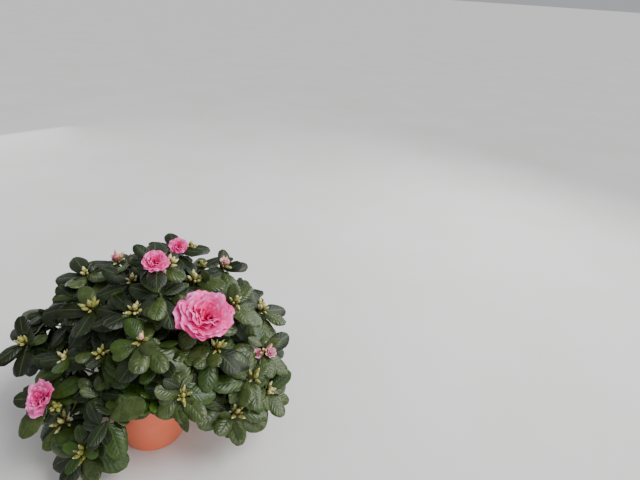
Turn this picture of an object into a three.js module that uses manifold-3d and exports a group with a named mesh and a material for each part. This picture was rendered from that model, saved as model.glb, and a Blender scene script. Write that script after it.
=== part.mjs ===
// A flowering azalea in its plastic pot: a short trunk, arching boughs and masses of leafy shoots.
// Millimetres and degrees, +Z up. The origin is the middle of the pot's flat underside.
// A bearing of 0 points along -Y, to the front, and a bearing of 90 along +X, to the right.
import * as THREE from "three";
import { ConvexGeometry } from "three/addons/geometries/ConvexGeometry.js";
import { mergeVertices } from "three/addons/utils/BufferGeometryUtils.js";
import Module from "manifold-3d";

const wasm = await Module();
wasm.setup();

const UP = new THREE.Vector3(0, 0, 1);
const GAP = 0.3;
const FLOOR_CLEARANCE = 12;

const POT = {
  baseRadius: 48, shoulderRadius: 59.6, topRadius: 65, height: 108, rimHeight: 19, wall: 1.6, floor: 2.2,
  edge: 1.2, ledge: 1.6, segments: 32, holes: 6, holeRadius: 4.5, holeCircle: 33,
};
const SOIL = { top: 94, clearance: 0.5, lump: 1.1, flatRadius: 18, segments: 18 };
const TRUNK = {
  height: 32, footRadius: 13, neckRadius: 8.6, topRadius: 7.6, lean: 7, leanBearing: 165, sides: 9,
};
const BOUGH = { rootRadius: 4, tipRadius: 2.4, sides: 5, steps: 5, leaving: 0.36, entering: 0.34 };
const SIDE_BOUGH = { rootRadius: 3, tipRadius: 2.2, at: 0.4, forward: 0.6 };
// The trunk's boughs leave it by turns from an upper and a lower ring, this far from its middle line.
const FORKS = [{ share: 0.86, rise: 42, away: 9.8 }, { share: 0.48, rise: 34, away: 10.7 }];

// The crown is a dome about its middle. Each shoot faces away from its root and turns towards the light.
const CROWN = {
  middle: new THREE.Vector3(8, 38, 108), root: new THREE.Vector3(8, 38, 40),
  roundness: 300, depth: 46, stem: 7, heartDip: 20,
};
const LIGHT = { bearing: 0, rise: 68, pull: 2 };
const SHOOT = {
  stemRadius: 2.1, stemSides: 5, rootRadius: 1.7, tipRadius: 1.1, sides: 3, steps: 3,
  leaving: 0.3, entering: 0.35,
};

const LEAF = {
  thickness: 1.1, widthRatio: 0.54, widest: 0.45, tipWidth: 0.4, middle: 0.5,
  droop: 0.2, sag: 0.2, slack: 0.45, margin: 85,
  first: { length: 44, opening: 54 }, last: { length: 57, opening: 88 },
  step: 1.5, start: 2.5, seat: 0.3, turn: 137.5,
  under: { count: 1, length: 48, opening: 99, step: 8 },
  lengthSpread: 0.12, openingSpread: 6, turnSpread: 7, lowest: 0.3,
};
// A leaf that would meet another is turned and tipped by these angles, tried in order, or else left out.
const RETRIES = [[0, 0], [14, 0], [-14, 0], [0, -13], [0, 13], [26, -6], [-26, -6], [20, 12], [-20, 12]];
const BUDS = {
  height: 15, valley: 6, sunk: 4, outerHeight: 12, outerReach: 7, valleyReach: 2.6, spread: 0.2,
};
const BLOOM = { lobes: 7, ruffle: 0.1, curl: 3, seat: 0.62 };

// What a shoot can end in: how many leaves its whorl has, whether buds stand in it, and its blossom.
const TIPS = {
  t: { leaves: 4, buds: false },
  v: { leaves: 8, buds: false },
  b: { leaves: 8, buds: true },
  o: { leaves: 7, buds: true, bloom: { radius: 11, depth: 9, columns: 6, rows: 4 } },
  f: { leaves: 7, buds: false, bloom: { radius: 18, depth: 15, columns: 10, rows: 5 } },
  F: { leaves: 8, buds: false, bloom: { radius: 42, depth: 24, columns: 16, rows: 7 } },
};

// Each limb leaves the trunk, or the limb that it is on, and ends in a mass of foliage. Bearing, reach and
// height place the middle of the mass, and slope is the rise of the limb where it enters it. Tips lists the
// ends of the shoots, which stand round the middle at the distance fan, the first one at the angle turn.
// A heart is one more shoot, which ends deep in the middle.
const TRUNK_LIMBS = [
  {
    name: "leader", bearing: -145, reach: 45, height: 240, slope: 80,
    fan: 40, turn: 145, tips: "bbb", heart: "v",
  },
  {
    name: "front", bearing: 30, reach: 90, height: 192, slope: 50,
    fan: 52, turn: 128, tips: "bbb", heart: "v",
  },
  {
    name: "right", bearing: 90, reach: 170, height: 180, slope: 35,
    fan: 50, turn: 342, tips: "bbo",
  },
  {
    name: "back_right", bearing: 132, reach: 202, height: 190, slope: 30,
    fan: 50, turn: 240, tips: "bbo",
  },
  {
    name: "back", bearing: 172, reach: 200, height: 148, slope: 20,
    fan: 56, turn: 215, tips: "bvb", heart: "v",
  },
  {
    name: "back_left", bearing: -160, reach: 156, height: 225, slope: 50,
    fan: 32, turn: 32, tips: "bov",
  },
  {
    name: "left", bearing: -125, reach: 184, height: 152, slope: 20,
    fan: 34, turn: 249, tips: "vbv",
  },
  {
    name: "front_left", bearing: -40, reach: 124, height: 105, slope: -8,
    fan: 46, turn: 238, tips: "bt",
  },
];
const SIDE_LIMBS = [
  {
    on: "front_left", name: "high_left", bearing: -74, reach: 82, height: 166, slope: 50,
    fan: 36, turn: 191, tips: "bvb", heart: "v",
  },
  {
    on: "left", name: "low_left", bearing: -88, reach: 140, height: 98, slope: 0,
    fan: 36, turn: 300, tips: "bfv",
  },
  {
    on: "right", name: "high_right", bearing: 95, reach: 70, height: 244, slope: 72,
    fan: 40, turn: 2, tips: "bvF",
  },
  {
    on: "right", name: "low_right", bearing: 57, reach: 165, height: 108, slope: 5,
    fan: 32, turn: 212, tips: "bbb",
  },
  {
    on: "back_right", name: "high_back", bearing: 160, reach: 105, height: 282, slope: 72,
    fan: 44, turn: 353, tips: "vff",
  },
  {
    on: "back_right", name: "low_back_right", bearing: 122, reach: 206, height: 98, slope: 2,
    fan: 36, turn: 320, tips: "bvb",
  },
  {
    on: "back", name: "low_back", bearing: 170, reach: 190, height: 78, slope: -6,
    fan: 34, turn: 356, tips: "bv",
  },
  {
    on: "back_left", name: "low_back_left", bearing: -147, reach: 178, height: 85, slope: -4,
    fan: 36, turn: 220, tips: "vbv",
  },
  {
    on: "front", name: "low_front", bearing: -14, reach: 92, height: 132, slope: 14,
    fan: 24, turn: 20, tips: "vt",
  },
  {
    on: "left", name: "upper_left", bearing: -128, reach: 124, height: 200, slope: 50,
    fan: 24, turn: 90, tips: "vv",
  },
];
const LIMBS = [...TRUNK_LIMBS, ...SIDE_LIMBS];

const LOOKS = {
  pot: { color: 0xc9684c, roughness: 0.45 },
  soil: { color: 0x33241b, roughness: 0.95 },
  trunk: { color: 0x5d4a3a, roughness: 0.85 },
  bough: { color: 0x6a523d, roughness: 0.85 },
  foliage: { color: 0x2f4a28, roughness: 0.5 },
};

const radians = THREE.MathUtils.degToRad;
const mix = THREE.MathUtils.lerp;

/** A seeded source of numbers from 0 to 1, the same on every run. */
function seeded(seed) {
  let state = seed >>> 0;
  return () => {
    state = (state + 0x6d2b79f5) >>> 0;
    let mixed = Math.imul(state ^ (state >>> 15), state | 1);
    mixed ^= mixed + Math.imul(mixed ^ (mixed >>> 7), mixed | 61);
    return ((mixed ^ (mixed >>> 14)) >>> 0) / 4294967296;
  };
}

/** The point at a bearing and reach from the pot's axis, at a height. */
function place(bearing, reach, height) {
  const angle = radians(bearing);
  return new THREE.Vector3(Math.sin(angle) * reach, -Math.cos(angle) * reach, height);
}

/** The unit direction with a bearing and a rise over the level. */
function heading(bearing, rise) {
  return place(bearing, Math.cos(radians(rise)), Math.sin(radians(rise)));
}

/** Two unit vectors square to an axis and to each other, the first one level. */
function crossFrame(axis) {
  const level = new THREE.Vector3().crossVectors(UP, axis).normalize();
  return [level, new THREE.Vector3().crossVectors(axis, level).normalize()];
}

/** The sum of vectors, each taken a number of times: combined([[a, 2], [b, -1]]) is 2a - b. */
function combined(terms) {
  const sum = new THREE.Vector3();
  for (const [vector, times] of terms) sum.addScaledVector(vector, times);
  return sum;
}

/** A closed geometry that holds only positions, with its shared vertices merged. */
function merged(geometry) {
  geometry.deleteAttribute("normal");
  geometry.deleteAttribute("uv");
  return mergeVertices(geometry, 1e-5);
}

/** The geometry with each vertex moved to where the mapping puts it. */
function mapped(geometry, mapping) {
  const points = geometry.attributes.position;
  const point = new THREE.Vector3();
  for (let i = 0; i < points.count; i += 1) {
    mapping(point.fromBufferAttribute(points, i));
    points.setXYZ(i, point.x, point.y, point.z);
  }
  return geometry;
}

/** The manifold solid of a closed geometry. */
function solidOf(geometry) {
  const closed = merged(geometry);
  const vertProperties = new Float32Array(closed.attributes.position.array);
  const triVerts = new Uint32Array(closed.index.array);
  return new wasm.Manifold(new wasm.Mesh({ numProp: 3, vertProperties, triVerts }));
}

/** The triangles of a mesh sorted into shells, each a list of vertex numbers; faces join at shared edges. */
function shellsOf(mesh) {
  const { triVerts } = mesh;
  const vertices = mesh.vertProperties.length / 3;
  const owner = Array.from({ length: triVerts.length / 3 }, (_, face) => face);
  const shellOf = (face) => {
    let root = face;
    while (owner[root] !== root) root = owner[root];
    owner[face] = root;
    return root;
  };
  const faceAt = new Map();
  triVerts.forEach((start, corner) => {
    const face = Math.floor(corner / 3);
    const end = triVerts[3 * face + ((corner + 1) % 3)];
    const edge = Math.min(start, end) * vertices + Math.max(start, end);
    if (faceAt.has(edge)) owner[shellOf(face)] = shellOf(faceAt.get(edge));
    faceAt.set(edge, face);
  });
  const shells = new Map();
  triVerts.forEach((vertex, corner) => {
    const shell = shellOf(Math.floor(corner / 3));
    if (!shells.has(shell)) shells.set(shell, []);
    shells.get(shell).push(vertex);
  });
  return [...shells.values()];
}

/** The geometry of a solid's largest shell, so that loose scraps and sealed hollows are left out. */
function geometryOf(solid) {
  const mesh = solid.getMesh();
  const geometry = new THREE.BufferGeometry();
  geometry.setAttribute("position", new THREE.BufferAttribute(new Float32Array(mesh.vertProperties), 3));
  geometry.setIndex(shellsOf(mesh).reduce((best, each) => (each.length > best.length ? each : best)));
  return geometry.toNonIndexed();
}

/** A named mesh with a material of its own. */
function meshOf(name, geometry, look) {
  geometry.computeVertexNormals();
  const mesh = new THREE.Mesh(geometry, new THREE.MeshStandardMaterial({ metalness: 0, ...look }));
  mesh.name = name;
  return mesh;
}

/** A curve that leaves one point along one direction and enters another point along a second one. */
function arch(start, leaving, end, entering, shares) {
  const span = start.distanceTo(end);
  const first = combined([[start, 1], [leaving, span * shares.leaving]]);
  const second = combined([[end, 1], [entering, -span * shares.entering]]);
  return new THREE.CubicBezierCurve3(start, first, second, end);
}

/** A limb along a curve, its radius running evenly from root to tip. */
function limbGeometry(curve, rootRadius, tipRadius, sides, steps) {
  const frames = [];
  let side = crossFrame(curve.getTangentAt(0.01))[0];
  for (let i = 0; i <= steps; i += 1) {
    const tangent = curve.getTangentAt(i / steps).normalize();
    side = combined([[side, 1], [tangent, -side.dot(tangent)]]).normalize();
    frames.push({ centre: curve.getPointAt(i / steps), side, other: tangent.cross(side) });
  }
  return mapped(new THREE.CylinderGeometry(1, 1, 1, sides, steps), (point) => {
    const step = Math.round((point.y + 0.5) * steps);
    const radius = mix(rootRadius, tipRadius, step / steps);
    const { centre, side: across, other } = frames[step];
    point.copy(combined([[centre, 1], [across, point.z * radius], [other, point.x * radius]]));
  });
}

/** The pot: a thin tapered wall with a stepped-out rim band, a floor and drain holes. */
function potGeometry() {
  const { baseRadius, shoulderRadius, topRadius, height, wall, floor, edge, ledge } = POT;
  const shoulder = height - POT.rimHeight;
  const bandRadius = topRadius - wall;
  const profile = [
    [0, 0], [baseRadius - edge, 0], [baseRadius, edge], [shoulderRadius, shoulder],
    [bandRadius, shoulder + ledge], [topRadius, height - edge], [topRadius - wall / 3, height],
    [topRadius - wall, height], [bandRadius - wall, shoulder + 2 * ledge],
    [shoulderRadius - wall, shoulder + ledge], [baseRadius - wall, floor], [0, floor],
  ].map(([radius, level]) => new THREE.Vector2(radius, level));
  let solid = solidOf(new THREE.LatheGeometry(profile, POT.segments).rotateX(Math.PI / 2));
  for (let i = 0; i < POT.holes; i += 1) {
    const centre = place((360 * (i + 0.5)) / POT.holes, POT.holeCircle, 0);
    const drill = new THREE.CylinderGeometry(POT.holeRadius, POT.holeRadius, 4 * floor, 8);
    drill.rotateX(Math.PI / 2).translate(centre.x, centre.y, 0);
    solid = solid.subtract(solidOf(drill));
  }
  return geometryOf(solid);
}

/** The soil: a plug that fills the pot, with a lumpy top that is level where the trunk stands. */
function soilGeometry() {
  const { top, clearance, lump, flatRadius } = SOIL;
  const bottom = POT.floor + clearance;
  const bend = POT.height - POT.rimHeight + POT.ledge + clearance;
  const lowRadius = POT.baseRadius - POT.wall - clearance;
  const highRadius = POT.shoulderRadius - POT.wall - clearance;
  const bandRadius = POT.topRadius - 2 * POT.wall - clearance;
  const profile = [
    [0, bottom], [lowRadius, bottom], [highRadius, bend], [bandRadius, bend + POT.ledge],
    [bandRadius - 1, top], [0.8 * bandRadius, top + lump], [0.5 * bandRadius, top + lump],
    [flatRadius, top], [0, top],
  ].map(([radius, level]) => new THREE.Vector2(radius, level));
  const random = seeded(11);
  const turned = merged(new THREE.LatheGeometry(profile, SOIL.segments).rotateX(Math.PI / 2));
  return mapped(turned, (point) => {
    if (point.z > top + lump / 2) point.z += lump * (random() - 0.5);
  });
}

/** The trunk's middle line, from its flat cut on the soil to its fork. */
function trunkCurve() {
  const foot = new THREE.Vector3(0, 0, SOIL.top + GAP);
  const lean = heading(TRUNK.leanBearing, 90 - TRUNK.lean);
  return new THREE.LineCurve3(foot, combined([[foot, 1], [lean, TRUNK.height]]));
}

/** The trunk: a flared foot, a slight lean and a taper to the fork. */
function trunkGeometry() {
  const { footRadius, neckRadius, topRadius, sides } = TRUNK;
  const curve = trunkCurve();
  const profile = [
    [0, 0], [footRadius, 0], [0.84 * footRadius, 0.07], [1.1 * neckRadius, 0.2], [neckRadius, 0.4],
    [topRadius, 0.9], [0.8 * topRadius, 1], [0, 1],
  ].map(([radius, share]) => new THREE.Vector2(radius, share));
  return mapped(new THREE.LatheGeometry(profile, sides).rotateX(Math.PI / 2), (point) => {
    const centre = curve.getPoint(point.z);
    point.set(point.x + centre.x, point.y + centre.y, centre.z);
  });
}

/** Where a limb starts beside its carrier, and the direction that it leaves in. */
function limbRoot(limb, order, curves) {
  if (order === 0) {
    return { start: combined([[trunkCurve().getPoint(1), 1], [UP, GAP]]), leaving: UP.clone(), size: BOUGH };
  }
  if (!limb.on) {
    const { share, rise, away } = FORKS[order % FORKS.length];
    const start = combined([[trunkCurve().getPoint(share), 1], [heading(limb.bearing, 0), away]]);
    return { start, leaving: heading(limb.bearing, rise), size: BOUGH };
  }
  const carrier = curves.get(limb.on);
  const base = carrier.getPointAt(SIDE_BOUGH.at);
  const tangent = carrier.getTangentAt(SIDE_BOUGH.at).normalize();
  const target = place(limb.bearing, limb.reach, limb.height).sub(base);
  const away = combined([[target, 1], [tangent, -target.dot(tangent)]]).normalize();
  const leaving = combined([[away, 1], [tangent, SIDE_BOUGH.forward]]).normalize();
  const tilt = Math.sqrt(1 - leaving.dot(away) ** 2);
  const surface = mix(BOUGH.rootRadius, BOUGH.tipRadius, SIDE_BOUGH.at) + GAP + SIDE_BOUGH.rootRadius * tilt;
  return { start: combined([[base, 1], [away, surface]]), leaving, size: SIDE_BOUGH };
}

/** The limbs in order, each with its curve, its size and the hub where its foliage branches. */
function growLimbs() {
  const curves = new Map();
  return LIMBS.map((limb, order) => {
    const middle = place(limb.bearing, limb.reach, limb.height);
    const entering = heading(limb.bearing, limb.slope);
    const hub = combined([[middle, 1], [entering, -CROWN.depth]]);
    const { start, leaving, size } = limbRoot(limb, order, curves);
    const end = combined([[hub, 1], [entering, -CROWN.stem]]);
    const curve = arch(start, leaving, end, entering, BOUGH);
    curves.set(limb.name, curve);
    return { ...limb, order, middle, entering, hub, curve, size };
  });
}

/** The shoots of a limb: each has its kind of tip, its place and the axis that its whorl faces along. */
function growShoots(limb) {
  const outward = combined([[limb.middle, 1], [CROWN.middle, -1]]).normalize();
  const [level, rising] = crossFrame(outward);
  const ring = [...limb.tips].map((kind, index) => ({
    kind, distance: limb.fan, angle: radians(limb.turn + (360 * index) / limb.tips.length), dip: 0,
  }));
  const heart = [...(limb.heart ?? "")].map((kind) => ({ kind, distance: 0, angle: 0, dip: CROWN.heartDip }));
  return [...ring, ...heart].map(({ kind, distance, angle, dip }, index) => {
    const tip = combined([
      [limb.middle, 1], [level, distance * Math.cos(angle)], [rising, distance * Math.sin(angle)],
      [outward, -dip - distance ** 2 / CROWN.roundness],
    ]);
    const axis = combined([[tip, 1], [CROWN.root, -1]]).normalize();
    axis.addScaledVector(heading(LIGHT.bearing, LIGHT.rise), LIGHT.pull).normalize();
    const curve = arch(limb.hub, limb.entering, tip, axis, SHOOT);
    return { kind: TIPS[kind], tip, axis, curve, random: seeded(1000 + 10 * limb.order + index) };
  });
}

/** The leaves that a shoot would have: a spiral whorl at its tip that opens downwards, and a few below. */
function leafSlots(shoot) {
  const { random, kind } = shoot;
  const spread = (amount) => amount * (2 * random() - 1);
  const phase = 360 * random();
  return Array.from({ length: kind.leaves + LEAF.under.count }, (_, index) => {
    const below = Math.max(0, index - kind.leaves + 1);
    const share = Math.min(1, index / (kind.leaves - 1));
    const opening = below ? LEAF.under.opening : mix(LEAF.first.opening, LEAF.last.opening, share);
    const length = below ? LEAF.under.length : mix(LEAF.first.length, LEAF.last.length, share);
    return {
      turn: phase + LEAF.turn * index + spread(LEAF.turnSpread),
      opening: opening + spread(LEAF.openingSpread),
      length: length * (1 + spread(LEAF.lengthSpread)),
      drop: LEAF.start + LEAF.step * index + LEAF.under.step * below,
    };
  });
}

/** The point at a share of a shoot's length, on the straight steps that its twig is made of. */
function pointOnTwig(shoot, share) {
  const along = THREE.MathUtils.clamp(share, LEAF.lowest, 1) * SHOOT.steps;
  const step = Math.min(Math.floor(along), SHOOT.steps - 1);
  const start = shoot.curve.getPointAt(step / SHOOT.steps);
  return start.lerp(shoot.curve.getPointAt((step + 1) / SHOOT.steps), along - step);
}

/** The pose of a leaf: its base on the shoot, its direction and the way its upper side faces. */
function leafPose(shoot, slot, [turn, tip]) {
  const [level, rising] = crossFrame(shoot.axis);
  const around = radians(slot.turn + turn);
  const opening = radians(slot.opening + tip);
  const outward = combined([[level, Math.cos(around)], [rising, Math.sin(around)]]);
  const direction = combined([
    [shoot.axis, Math.cos(opening)], [outward, Math.sin(opening)], [UP, -LEAF.sag],
  ]).normalize();
  const upper = combined([[shoot.axis, 1], [direction, -shoot.axis.dot(direction)]]).normalize();
  const base = pointOnTwig(shoot, 1 - slot.drop / shoot.curve.getLength());
  base.addScaledVector(outward, LEAF.seat);
  return { base, direction, upper, side: upper.clone().cross(direction), length: slot.length };
}

/** A leaf's outline before it has its size: X from 0 to 1 along it, Y across it, Z up to its ridge. */
const LEAF_RIM = [
  [0, 0, 0], [LEAF.widest, 1, -1], [LEAF.widest, -1, -1], [1, LEAF.tipWidth, 0], [1, -LEAF.tipWidth, 0],
];
/** The form of a leaf with a ridge along its middle, and the slab of space that it claims for itself. */
const LEAF_FORM = formOf([...LEAF_RIM, [LEAF.middle, 0, 1]]);
const GUARD_FORM = formOf(LEAF_RIM.flatMap(([along, across]) => [[along, across, 1], [along, across, -1]]));

/** The convex form round points that are given as lists of three numbers. */
function formOf(points) {
  return new ConvexGeometry(points.map((point) => new THREE.Vector3(...point)));
}

/** A leaf's form at its size and pose, bent down along its length, or with slack the space that it claims. */
function leafGeometry(pose, slack) {
  const { base, direction, upper, side, length } = pose;
  const halfWidth = (length * LEAF.widthRatio) / 2 + 2 * slack;
  const form = slack ? GUARD_FORM : LEAF_FORM;
  return mapped(form.clone(), (point) => {
    const { x: along, y: across, z: level } = point;
    const reach = along * (length + 2 * slack);
    const height = level * (LEAF.thickness / 2 + slack) - (LEAF.droop * reach ** 2) / length;
    point.copy(combined([[base, 1], [direction, reach], [upper, height], [side, across * halfWidth]]));
  });
}

/** A cluster of pointed buds: three lean out round a taller one, on a root that is sunk in the shoot. */
function budsGeometry(shoot) {
  const [level, rising] = crossFrame(shoot.axis);
  const turn = radians(120 * shoot.random());
  const sizes = Array.from({ length: 4 }, () => 1 + BUDS.spread * (2 * shoot.random() - 1));
  return mapped(new THREE.SphereGeometry(1, 6, 2), (point) => {
    const sector = Math.round(Math.atan2(point.z, point.x) / (Math.PI / 3)) + 3;
    const isBud = sector % 2 === 0;
    const size = sizes[(sector / 2) % 3 | 0];
    const around = Math.atan2(point.z, point.x) + turn;
    const reach = Math.hypot(point.x, point.z) * (isBud ? BUDS.outerReach * size : BUDS.valleyReach);
    const ringHeight = isBud ? BUDS.outerHeight * size : BUDS.valley;
    const height = point.y > 0.5 ? BUDS.height * sizes[3] : point.y < -0.5 ? -BUDS.sunk : ringHeight;
    point.copy(combined([
      [shoot.tip, 1], [shoot.axis, height],
      [rising, Math.cos(around) * reach], [level, Math.sin(around) * reach],
    ]));
  });
}

/** A double blossom as a flattened ball with a ruffled rim. */
function bloomGeometry(shoot, bloom) {
  const [level, rising] = crossFrame(shoot.axis);
  const centre = combined([[shoot.tip, 1], [shoot.axis, bloom.depth * BLOOM.seat]]);
  return mapped(new THREE.SphereGeometry(1, bloom.columns, bloom.rows), (point) => {
    const around = Math.atan2(point.z, point.x);
    const ruffle = 1 + BLOOM.ruffle * Math.cos(BLOOM.lobes * around + BLOOM.curl * point.y);
    const radius = bloom.radius * ruffle;
    point.copy(combined([
      [centre, 1], [shoot.axis, point.y * bloom.depth], [rising, point.x * radius], [level, point.z * radius],
    ]));
  });
}

/** The stem, twigs, buds and blossoms of a limb's mass of foliage, as solids. */
function growTwigs(limb, shoots) {
  const stemStart = combined([[limb.hub, 1], [limb.entering, GAP - CROWN.stem]]);
  const stemEnd = combined([[limb.hub, 1], [limb.entering, SHOOT.rootRadius]]);
  const stem = new THREE.LineCurve3(stemStart, stemEnd);
  const solids = [solidOf(limbGeometry(stem, SHOOT.stemRadius, SHOOT.stemRadius, SHOOT.stemSides, 1))];
  for (const shoot of shoots) {
    const twig = limbGeometry(shoot.curve, SHOOT.rootRadius, SHOOT.tipRadius, SHOOT.sides, SHOOT.steps);
    solids.push(solidOf(twig));
    if (shoot.kind.buds) solids.push(solidOf(budsGeometry(shoot)));
    if (shoot.kind.bloom) solids.push(solidOf(bloomGeometry(shoot, shoot.kind.bloom)));
  }
  return solids;
}

/** Whether two boxes overlap. */
function boxesMeet(first, second) {
  return [0, 1, 2].every((i) => first.min[i] <= second.max[i] && second.min[i] <= first.max[i]);
}

/** A solid with its box, the node that it belongs to and the shoot that it grows on. */
function claimed(solid, node, shoot) {
  return { solid, box: solid.boundingBox(), node, shoot };
}

/** Whether a solid meets none of the claimed solids that the filter picks. */
function isFree(solid, claims, filter) {
  const box = solid.boundingBox();
  return claims.every((claim) => (
    !filter(claim) || !boxesMeet(box, claim.box) || solid.intersect(claim.solid).isEmpty()
  ));
}

/** The leaf of a slot in the first pose that is clear of the rest, or null where none is. */
function growLeaf(limb, shoot, slot, claims) {
  const notOwn = (claim) => claim.shoot !== shoot && (claim.node !== limb.name || claim.shoot !== null);
  for (const change of RETRIES) {
    const pose = leafPose(shoot, slot, change);
    const far = combined([[pose.base, 1], [pose.direction, pose.length]]);
    const inSpace = far.distanceTo(limb.middle) < limb.fan + LEAF.margin && far.z > FLOOR_CLEARANCE;
    if (inSpace && isFree(solidOf(leafGeometry(pose, LEAF.slack)), claims, notOwn)) {
      return solidOf(leafGeometry(pose, 0));
    }
  }
  return null;
}

/** All solids joined into one. */
function fused(solids) {
  return solids.reduce((whole, solid) => whole.add(solid));
}

/** The whole plant in its pot as one group of named meshes. */
function buildAzalea() {
  const group = new THREE.Group();
  const fixed = [
    ["pot", potGeometry(), LOOKS.pot],
    ["soil", soilGeometry(), LOOKS.soil],
    ["trunk", trunkGeometry(), LOOKS.trunk],
  ];
  const limbs = growLimbs();
  for (const limb of limbs) {
    const { rootRadius, tipRadius } = limb.size;
    const geometry = limbGeometry(limb.curve, rootRadius, tipRadius, BOUGH.sides, BOUGH.steps);
    fixed.push([`bough_${limb.name}`, geometry, LOOKS.bough]);
  }
  const claims = fixed.map(([name, geometry]) => claimed(solidOf(geometry.clone()), name, null));
  const plants = limbs.map((limb) => {
    const shoots = growShoots(limb);
    const solids = growTwigs(limb, shoots);
    for (const solid of solids) claims.push(claimed(solid, limb.name, null));
    return { limb, shoots, solids, slots: shoots.map(leafSlots) };
  });
  const most = Math.max(...plants.flatMap((plant) => plant.slots.map((slots) => slots.length)));
  for (let turn = 0; turn < most; turn += 1) {
    for (const { limb, shoots, solids, slots } of plants) {
      shoots.forEach((shoot, index) => {
        const slot = slots[index][turn];
        const leaf = slot ? growLeaf(limb, shoot, slot, claims) : null;
        if (!leaf) return;
        solids.push(leaf);
        claims.push(claimed(leaf, limb.name, shoot));
      });
    }
  }
  for (const [name, geometry, look] of fixed) group.add(meshOf(name, geometry, look));
  for (const { limb, solids } of plants) {
    group.add(meshOf(`foliage_${limb.name}`, geometryOf(fused(solids)), LOOKS.foliage));
  }
  return group;
}

export default buildAzalea();
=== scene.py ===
"""Looks of a flowering azalea in its plastic pot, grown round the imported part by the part's own rule."""

import logging
import math
from dataclasses import dataclass, field
from enum import Enum, IntEnum

import bpy
import numpy as np
from mathutils import Matrix
from mathutils.kdtree import KDTree


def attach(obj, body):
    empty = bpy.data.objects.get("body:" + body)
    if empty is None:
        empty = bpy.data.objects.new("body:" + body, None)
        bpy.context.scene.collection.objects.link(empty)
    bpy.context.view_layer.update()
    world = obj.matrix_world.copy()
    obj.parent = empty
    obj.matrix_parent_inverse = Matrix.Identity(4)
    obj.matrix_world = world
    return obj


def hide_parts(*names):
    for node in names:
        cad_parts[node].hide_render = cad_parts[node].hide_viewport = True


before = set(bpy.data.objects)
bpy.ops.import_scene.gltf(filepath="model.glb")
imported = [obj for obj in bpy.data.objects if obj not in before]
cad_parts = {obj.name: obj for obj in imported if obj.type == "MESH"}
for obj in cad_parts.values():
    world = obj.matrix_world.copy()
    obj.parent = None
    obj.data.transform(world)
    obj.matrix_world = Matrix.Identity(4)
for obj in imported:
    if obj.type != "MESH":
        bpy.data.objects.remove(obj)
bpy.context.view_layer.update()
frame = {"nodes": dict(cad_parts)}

Array = np.ndarray
Pair = tuple[float, float]
Triple = tuple[float, float, float]
Colour = Triple
Window = tuple[float, float, float, float]
Row = tuple[float, ...]
Ways = tuple[Array, Array]
Stops = list[tuple[float, Colour]]

LOG = logging.getLogger("azalea")
BODY = "root"
METRES = 0.001
UP = np.array([0.0, 0.0, 1.0])
GAP = 0.3
FULL_TURN = 2.0 * math.pi
GOLDEN_TURN = 137.5


def unit(vectors: Array) -> Array:
    """Vectors brought to length one along their last axis."""
    return vectors / np.linalg.norm(vectors, axis=-1, keepdims=True)


def place(bearing: float, reach: float, height: float) -> Array:
    """The point at a bearing in degrees and a reach from the pot's axis, at a height."""
    angle = math.radians(bearing)
    return np.array([math.sin(angle) * reach, -math.cos(angle) * reach, height])


def heading(bearing: float, rise: float) -> Array:
    """The unit direction with a bearing and a rise over the level, both in degrees."""
    return place(bearing, math.cos(math.radians(rise)), math.sin(math.radians(rise)))


def cross_frame(axis: Array) -> Ways:
    """Two unit vectors square to an axis and to each other, the first one level."""
    level = unit(np.cross(UP, axis))
    return level, unit(np.cross(axis, level))


def spoke(axis: Array, angle: float) -> Array:
    """The unit vector square to an axis, like a wheel's spoke, at an angle in radians from the level."""
    level, rising = cross_frame(axis)
    return level * math.cos(angle) + rising * math.sin(angle)


def squared(vector: Array, axis: Array) -> Array:
    """The unit vector along what is left of a vector when its share along an axis is taken off."""
    return unit(vector - axis * float(vector @ axis))


def blend(low: float, high: float, share: float | Array) -> float | Array:
    """The value at a share of the way from low to high."""
    return low + (high - low) * share


def ring_angles(count: int) -> Array:
    """Angles in radians, evenly round a circle, without the last that would close it."""
    return np.linspace(0.0, FULL_TURN, count, endpoint=False)


def pairs(rows: Array, columns: Array) -> Array:
    """A grid of pairs, each a row's value and a column's value, for UV maps."""
    return np.stack(np.meshgrid(rows, columns, indexing="ij"), axis=-1)


def smooth_step(values: Array, low: float, high: float) -> Array:
    """An even rise from 0 at low to 1 at high, with flat ends: 3t squared less 2t cubed."""
    share = np.clip((values - low) / (high - low), 0.0, 1.0)
    return share * share * (3.0 - 2.0 * share)


class Draws:
    """The part's seeded source of numbers from 0 to 1, the same on every run."""

    WORD = 0xFFFFFFFF
    STEP = 0x6D2B79F5

    def __init__(self, seed: int) -> None:
        """Starts the source at a seed."""
        self.state = seed & self.WORD

    def next(self) -> float:
        """Steps the source's whole number on and mixes its bits.

        Returns:
            The next number from 0 to 1.
        """
        self.state = (self.state + self.STEP) & self.WORD
        mixed = ((self.state ^ (self.state >> 15)) * (self.state | 1)) & self.WORD
        mixed ^= (mixed + (mixed ^ (mixed >> 7)) * (mixed | 61)) & self.WORD
        return (mixed ^ (mixed >> 14)) / (self.WORD + 1)

    def spread(self, amount: float) -> float:
        """A number between minus amount and amount."""
        return amount * (2.0 * self.next() - 1.0)

    def within(self, ends: Pair) -> float:
        """A number between two ends."""
        return blend(*ends, self.next())

    def angle(self) -> float:
        """An angle in degrees, from 0 to a full turn."""
        return 360.0 * self.next()

    def pick(self, options: tuple) -> object:
        """One of some options."""
        return options[int(len(options) * self.next())]


class Seed(IntEnum):
    """Where each kind of piece starts its draws."""

    TRUNK = 5
    BOUGHS = 40
    SOIL = 77
    LEAVES = 400
    BLOSSOMS = 700
    BUDS = 900
    SHOOTS = 1000


def shoot_draws(first: Seed, order: int, index: int) -> Draws:
    """The source of numbers for one shoot of one limb."""
    return Draws(first + 10 * order + index)


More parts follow.
